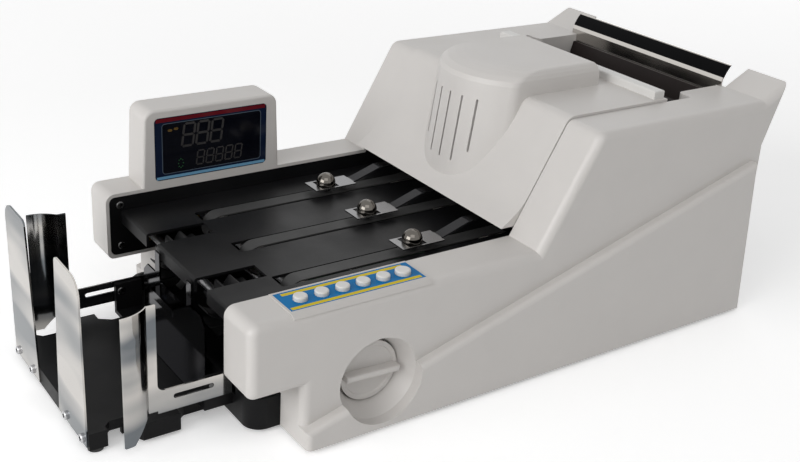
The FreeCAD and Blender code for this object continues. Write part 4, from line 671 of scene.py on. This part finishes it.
class COUNTER_OT_sheet_metal(bpy.types.Operator):
    """Finish the black frame and deck, and the bright guides of the stacker and hopper"""

    bl_idname = "counter.sheet_metal"
    bl_label = "Sheet metal"

    def execute(self, context):
        coat = grained("powder_coat", colours().coat, rough=(0.30, 0.44), scale=1300.0, depth=0.00005,
                       drift=0.2, gloss=0.16)
        dress(["near_frame_plate", "far_frame_plate", "deck_plate", "lower_guide_plate", "rear_panel"], coat)
        dress(["near_stop_plate", "far_stop_plate", "near_wing", "far_wing"], self.polished())
        # painted reflection: the chrome back plate is coloured near black
        dress(["stacker_back_plate"], brushed("dark_mirror", colours().mirror, (0.05, 0.10), UPRIGHT))
        dress(["hopper_rear_plate"], self.lacquered())
        return {"FINISHED"}

    def polished(self):
        """Bright sheet with upright marks and soft level bands of painted reflection, dark where it would
        mirror dark surroundings.
        """
        finish = Finish("bright_sheet", metallic=1.0)
        marks = finish.effect("brush_marks", Squeeze=UPRIGHT, Scale=MARK_SCALE)
        # painted reflection: stretched noise switches the sheet between bright and a dark reflected tone
        bands = finish.effect("brush_marks", Squeeze=REFLECTION_BAND_SQUEEZE, Scale=REFLECTION_BAND_SCALE)
        share = spread(finish.tree, bands["Height"], REFLECTION_BAND_LEVELS, WHOLE)
        paint = finish.mix(share, colours().painted_reflection_band, colours().bright)
        return finish.wear(marks, paint, rough=(0.06, 0.14), depth=0.000012)

    def lacquered(self):
        """Bright plate whose flared upper part is lacquered black, with a bare upper edge."""
        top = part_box("hopper_rear_plate")[1].z
        finish = Finish("lacquered_rail", metallic=1.0)
        marks = finish.effect("brush_marks", Squeeze=LONG_ACROSS, Scale=MARK_SCALE)
        flare = finish.patch((-PAST, -PAST, top - LACQUER_END), (PAST, PAST, top - BARE_EDGE))
        bare = finish.toned(colours().bright, marks, drift=0.05)
        lacquer = finish.toned(colours().black, marks, drift=0.15)
        return finish.wear(marks, finish.mix(flare, bare, lacquer), rough=(0.12, 0.22), depth=0.000015)


# In the drawing's millimetres along the machine: where the dark screws begin, and the arms' slopes
DARK_SCREWS = -20
SLOPE_FRONT = 186
SLOPE_REAR = 212
# shafts are thinner than this and drums are thicker, as a radius in metres
SHAFT_RADIUS = 0.0035


class COUNTER_OT_running_gear(bpy.types.Operator):
    """Finish the belts, rollers, arms, balls, shafts, pins and screws"""

    bl_idname = "counter.running_gear"
    bl_label = "Running gear"

    def execute(self, context):
        steel = brushed("drawn_steel", colours().steel, (0.22, 0.34), ACROSS)
        dress(["arm_pivot_rod", "cover_hinge_pins", "tie_rods", "display_port"], steel)
        screws = self.two_tone("screw_steel", colours().steel, colours().gunmetal, metallic=1.0,
                               squeeze=EVERY_WAY, front=at(DARK_SCREWS, 0, 0).x, rear=PAST)
        dress(["pan_head_screws"], screws)
        # the arms' sloped runs get a painted dark reflection in place of bare metal
        arms = self.two_tone("spring_strip", colours().strip, colours().slope_painted_reflection, metallic=0.0,
                             squeeze=ALONG, front=at(SLOPE_FRONT, 0, 0).x, rear=at(SLOPE_REAR, 0, 0).x)
        dress(["ball_arm_far", "ball_arm_middle", "ball_arm_near"], arms)
        # painted reflection: the balls' dark warm colour stands in for what they mirror
        ball = brushed("ball_steel", colours().ball, (0.05, 0.09), EVERY_WAY, depth=0.000003)
        dress(["steel_ball_far", "steel_ball_middle", "steel_ball_near"], ball)
        bronze = brushed("bush_bronze", colours().bronze, (0.32, 0.45), EVERY_WAY)
        dress(["shaft_bushes"], bronze)
        rubber = grained("belt_rubber", colours().rubber, rough=(0.55, 0.75), scale=1100.0, depth=0.00006,
                         drift=0.25)
        dress(["transport_belts", "drive_belts", "rubber_feet"], rubber)
        for name in ("feed_roller", "pickup_roller"):
            dress([name], self.drums(name, colours().rubber, metallic=0.0))
        for name in ("deck_idler_roller", "deck_drive_roller", "drive_shaft", "stacker_shaft", "motor_shaft"):
            dress([name], self.drums(name, colours().bright, metallic=1.0))
        return {"FINISHED"}

    def two_tone(self, name, bare, dark, metallic, squeeze, front, rear):
        """Bright steel that is darkened or lacquered between two places along the machine; on the arms that
        dark run is a painted dark reflection on their sloped part.
        """
        finish = Finish(name, gloss=0.15)
        marks = finish.effect("brush_marks", Squeeze=squeeze, Scale=MARK_SCALE)
        inside = finish.patch((front, -PAST, -PAST), (rear, PAST, PAST))
        finish.metal(inside, metallic)
        bare_tone = finish.toned(bare, marks, drift=0.05)
        dark_tone = finish.toned(dark, marks, drift=0.1)
        paint = finish.mix(inside, bare_tone, dark_tone)
        return finish.wear(marks, paint, rough=(0.20, 0.32), depth=0.000015)

    def drums(self, name, colour, metallic):
        """Shaft and drums of one turned piece, told apart by their distance from the axis."""
        low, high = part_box(name)
        middle = (low + high) / 2
        finish = Finish(f"{name}_finish")
        grain = finish.effect("moulded_grain", Scale=1500.0)
        drum = finish.effect("drum_mask", Centre=tuple(middle), Radius=SHAFT_RADIUS)["Mask"]
        finish.metal(drum, metallic)
        shaft_tone = finish.toned(colours().steel, grain, drift=0.05)
        drum_tone = finish.toned(colour, grain, drift=0.12)
        paint = finish.mix(drum, shaft_tone, drum_tone)
        return finish.wear(grain, paint, rough=(0.3, 0.5), depth=0.00003)


class COUNTER_OT_inner_works(bpy.types.Operator):
    """Finish the boards, the motor and the transformer"""

    bl_idname = "counter.inner_works"
    bl_label = "Inner works"

    def execute(self, context):
        board = grained("circuit_board", colours().board, rough=(0.25, 0.4), scale=700.0, drift=0.3)
        dress(["display_board", "key_board", "main_board"], board)
        enamel = grained("motor_enamel", colours().enamel, rough=(0.3, 0.45), scale=900.0, drift=0.15)
        dress(["main_motor", "transformer"], enamel)
        return {"FINISHED"}


# Area lamps: name, place and span in metres, power in watts; all of them aim at one point
LAMPS = (
    ("front_lamp", (-2.2, -0.3, 0.9), (1.8, 1.2), 30),
    ("near_lamp", (-0.7, -1.1, 1.7), (1.6, 1.2), 7),
    ("rear_lamp", (1.3, 1.0, 1.6), (1.4, 1.2), 3),
)
LAMP_AIM = Vector((0, 0, 0.08))
# Floor's glow where it is looked at: distances between which it rises, in metres, and its levels
GLOW_REACH = (0.6, 2.6)
GLOW_LEVELS = (0.33, 0.60)
# Surround's strength as a light, and where it is looked at
SURROUND_LEVELS = (0.35, 1.0)
WHITE = (1, 1, 1, 1)
# Camera: station point in the drawing's millimetres, and three angles in degrees
STATION = (-275.4, -641.6, 425.9)
HEADING = -36.25
PITCH = 24.48
ROLL = 3.95
SENSOR_WIDTH = 36
NEAREST = 0.01


class COUNTER_OT_stage(bpy.types.Operator):
    """Set the floor, the soft lights, the world and the camera"""

    bl_idname = "counter.stage"
    bl_label = "Stage"

    def execute(self, context):
        scene = context.scene
        scene.view_settings.view_transform = "Standard"
        self.floor(scene)
        self.world(scene)
        for lamp in LAMPS:
            self.lamp(scene, *lamp)
        self.camera(scene)
        return {"FINISHED"}

    def floor(self, scene):
        """A flat square under the machine, on its lowest point, pale to the camera and to mirrors."""
        half = sizes().floor_span / 2
        corners = np.array([[-1, -1], [1, -1], [1, 1], [-1, 1]]) * half
        level = np.full((4, 1), CAD_BOX[0][2])
        mesh = bpy.data.meshes.new("floor")
        mesh.from_pydata(np.hstack([corners, level]).tolist(), [], [[0, 1, 2, 3]])
        floor = bpy.data.objects.new("floor", mesh)
        scene.collection.objects.link(floor)
        finish = Finish("floor_paper")
        grain = finish.effect("moulded_grain", Scale=300.0)
        paint = finish.toned(colours().floor, grain, drift=0.004)
        mesh.materials.append(finish.wear(grain, paint, rough=(0.85, 0.95), depth=0.00001))
        self.whiten(finish)

    def whiten(self, finish):
        """Lift the floor towards white where it is looked at, more so the farther from the machine."""
        tree = finish.tree
        rise = spread(tree, vector(tree, "LENGTH", finish.place), GLOW_REACH, GLOW_LEVELS)
        glow = number(tree, "MULTIPLY", rise, self.looked_at(tree))
        put(tree, finish.shader.inputs["Emission Color"], WHITE)
        put(tree, finish.shader.inputs["Emission Strength"], glow)

    def looked_at(self, tree):
        """One for the camera's rays and for those that a mirror or glass sends on, nought for light."""
        path = tree.nodes.new("ShaderNodeLightPath").outputs
        mirrored = number(tree, "MAXIMUM", path["Is Camera Ray"], path["Is Glossy Ray"])
        return number(tree, "MAXIMUM", mirrored, path["Is Transmission Ray"])

    def world(self, scene):
        """An even pale surround, white where the camera or a mirror looks straight at it."""
        world = bpy.data.worlds.new("studio")
        scene.world = world
        world.use_nodes = True
        tree = world.node_tree
        back = tree.nodes["Background"]
        put(tree, back.inputs["Color"], WHITE)
        put(tree, back.inputs["Strength"], spread(tree, self.looked_at(tree), WHOLE, SURROUND_LEVELS))

    def lamp(self, scene, name, place, span, power):
        """A soft rectangular lamp at a place, turned towards the machine."""
        data = bpy.data.lights.new(name, "AREA")
        data.shape = "RECTANGLE"
        data.size, data.size_y = span
        data.energy = power
        lamp = bpy.data.objects.new(name, data)
        lamp.location = place
        lamp.rotation_euler = (LAMP_AIM - Vector(place)).to_track_quat("-Z", "Y").to_euler()
        scene.collection.objects.link(lamp)

    def camera(self, scene):
        """The photograph's view: a station point, a heading, a downward pitch and a slight roll."""
        heading, pitch, roll = (math.radians(angle) for angle in (HEADING, PITCH, ROLL))
        level = Vector((-math.sin(heading), math.cos(heading), 0))
        ahead = math.cos(pitch) * level - math.sin(pitch) * Vector((0, 0, 1))
        right = Vector((math.cos(heading), math.sin(heading), 0))
        above = right.cross(ahead)
        across = math.cos(roll) * right + math.sin(roll) * above
        upward = math.cos(roll) * above - math.sin(roll) * right
        turn = Matrix((across, upward, -ahead)).transposed()
        data = bpy.data.cameras.new("camera")
        data.lens = sizes().lens
        data.sensor_width = SENSOR_WIDTH
        data.sensor_fit = "HORIZONTAL"
        data.clip_start = NEAREST
        camera = bpy.data.objects.new("camera", data)
        camera.matrix_world = Matrix.Translation(at(*STATION)) @ turn.to_4x4()
        scene.collection.objects.link(camera)
        scene.camera = camera


class COUNTER_PT_panel(bpy.types.Panel):
    """The finishes in the order in which they are made"""

    bl_label = "Banknote counter"
    bl_idname = "COUNTER_PT_panel"
    bl_space_type = "VIEW_3D"
    bl_region_type = "UI"
    bl_category = "Counter"

    def draw(self, context):
        for operator in OPERATORS:
            self.layout.operator(operator.bl_idname)


OPERATORS = (
    COUNTER_OT_covers, COUNTER_OT_key_field, COUNTER_OT_window, COUNTER_OT_digits, COUNTER_OT_marks,
    COUNTER_OT_screw_recesses, COUNTER_OT_sheet_metal, COUNTER_OT_running_gear, COUNTER_OT_inner_works,
    COUNTER_OT_stage,
)
CLASSES = (CounterSizes, CounterColours, *OPERATORS, COUNTER_PT_panel)
# what a new scene starts with, and this one doesn't use
STARTUP_OBJECTS = ("Cube", "Light", "Camera")


def register():
    """Make the classes known, and give the scene its sizes and colours."""
    for item in CLASSES:
        bpy.utils.register_class(item)
    bpy.types.Scene.counter_sizes = PointerProperty(type=CounterSizes)
    bpy.types.Scene.counter_colours = PointerProperty(type=CounterColours)


def unregister():
    """Take back what register did."""
    del bpy.types.Scene.counter_colours
    del bpy.types.Scene.counter_sizes
    for item in reversed(CLASSES):
        bpy.utils.unregister_class(item)


def main():
    """Clear the new scene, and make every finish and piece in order."""
    for leftover in [item for item in bpy.data.objects if item.name in STARTUP_OBJECTS]:
        bpy.data.objects.remove(leftover)
    register()
    bpy.ops.counter.covers()
    bpy.ops.counter.key_field()
    bpy.ops.counter.window()
    bpy.ops.counter.digits()
    bpy.ops.counter.marks()
    bpy.ops.counter.screw_recesses()
    bpy.ops.counter.sheet_metal()
    bpy.ops.counter.running_gear()
    bpy.ops.counter.inner_works()
    bpy.ops.counter.stage()


if __name__ == "__main__":
    main()
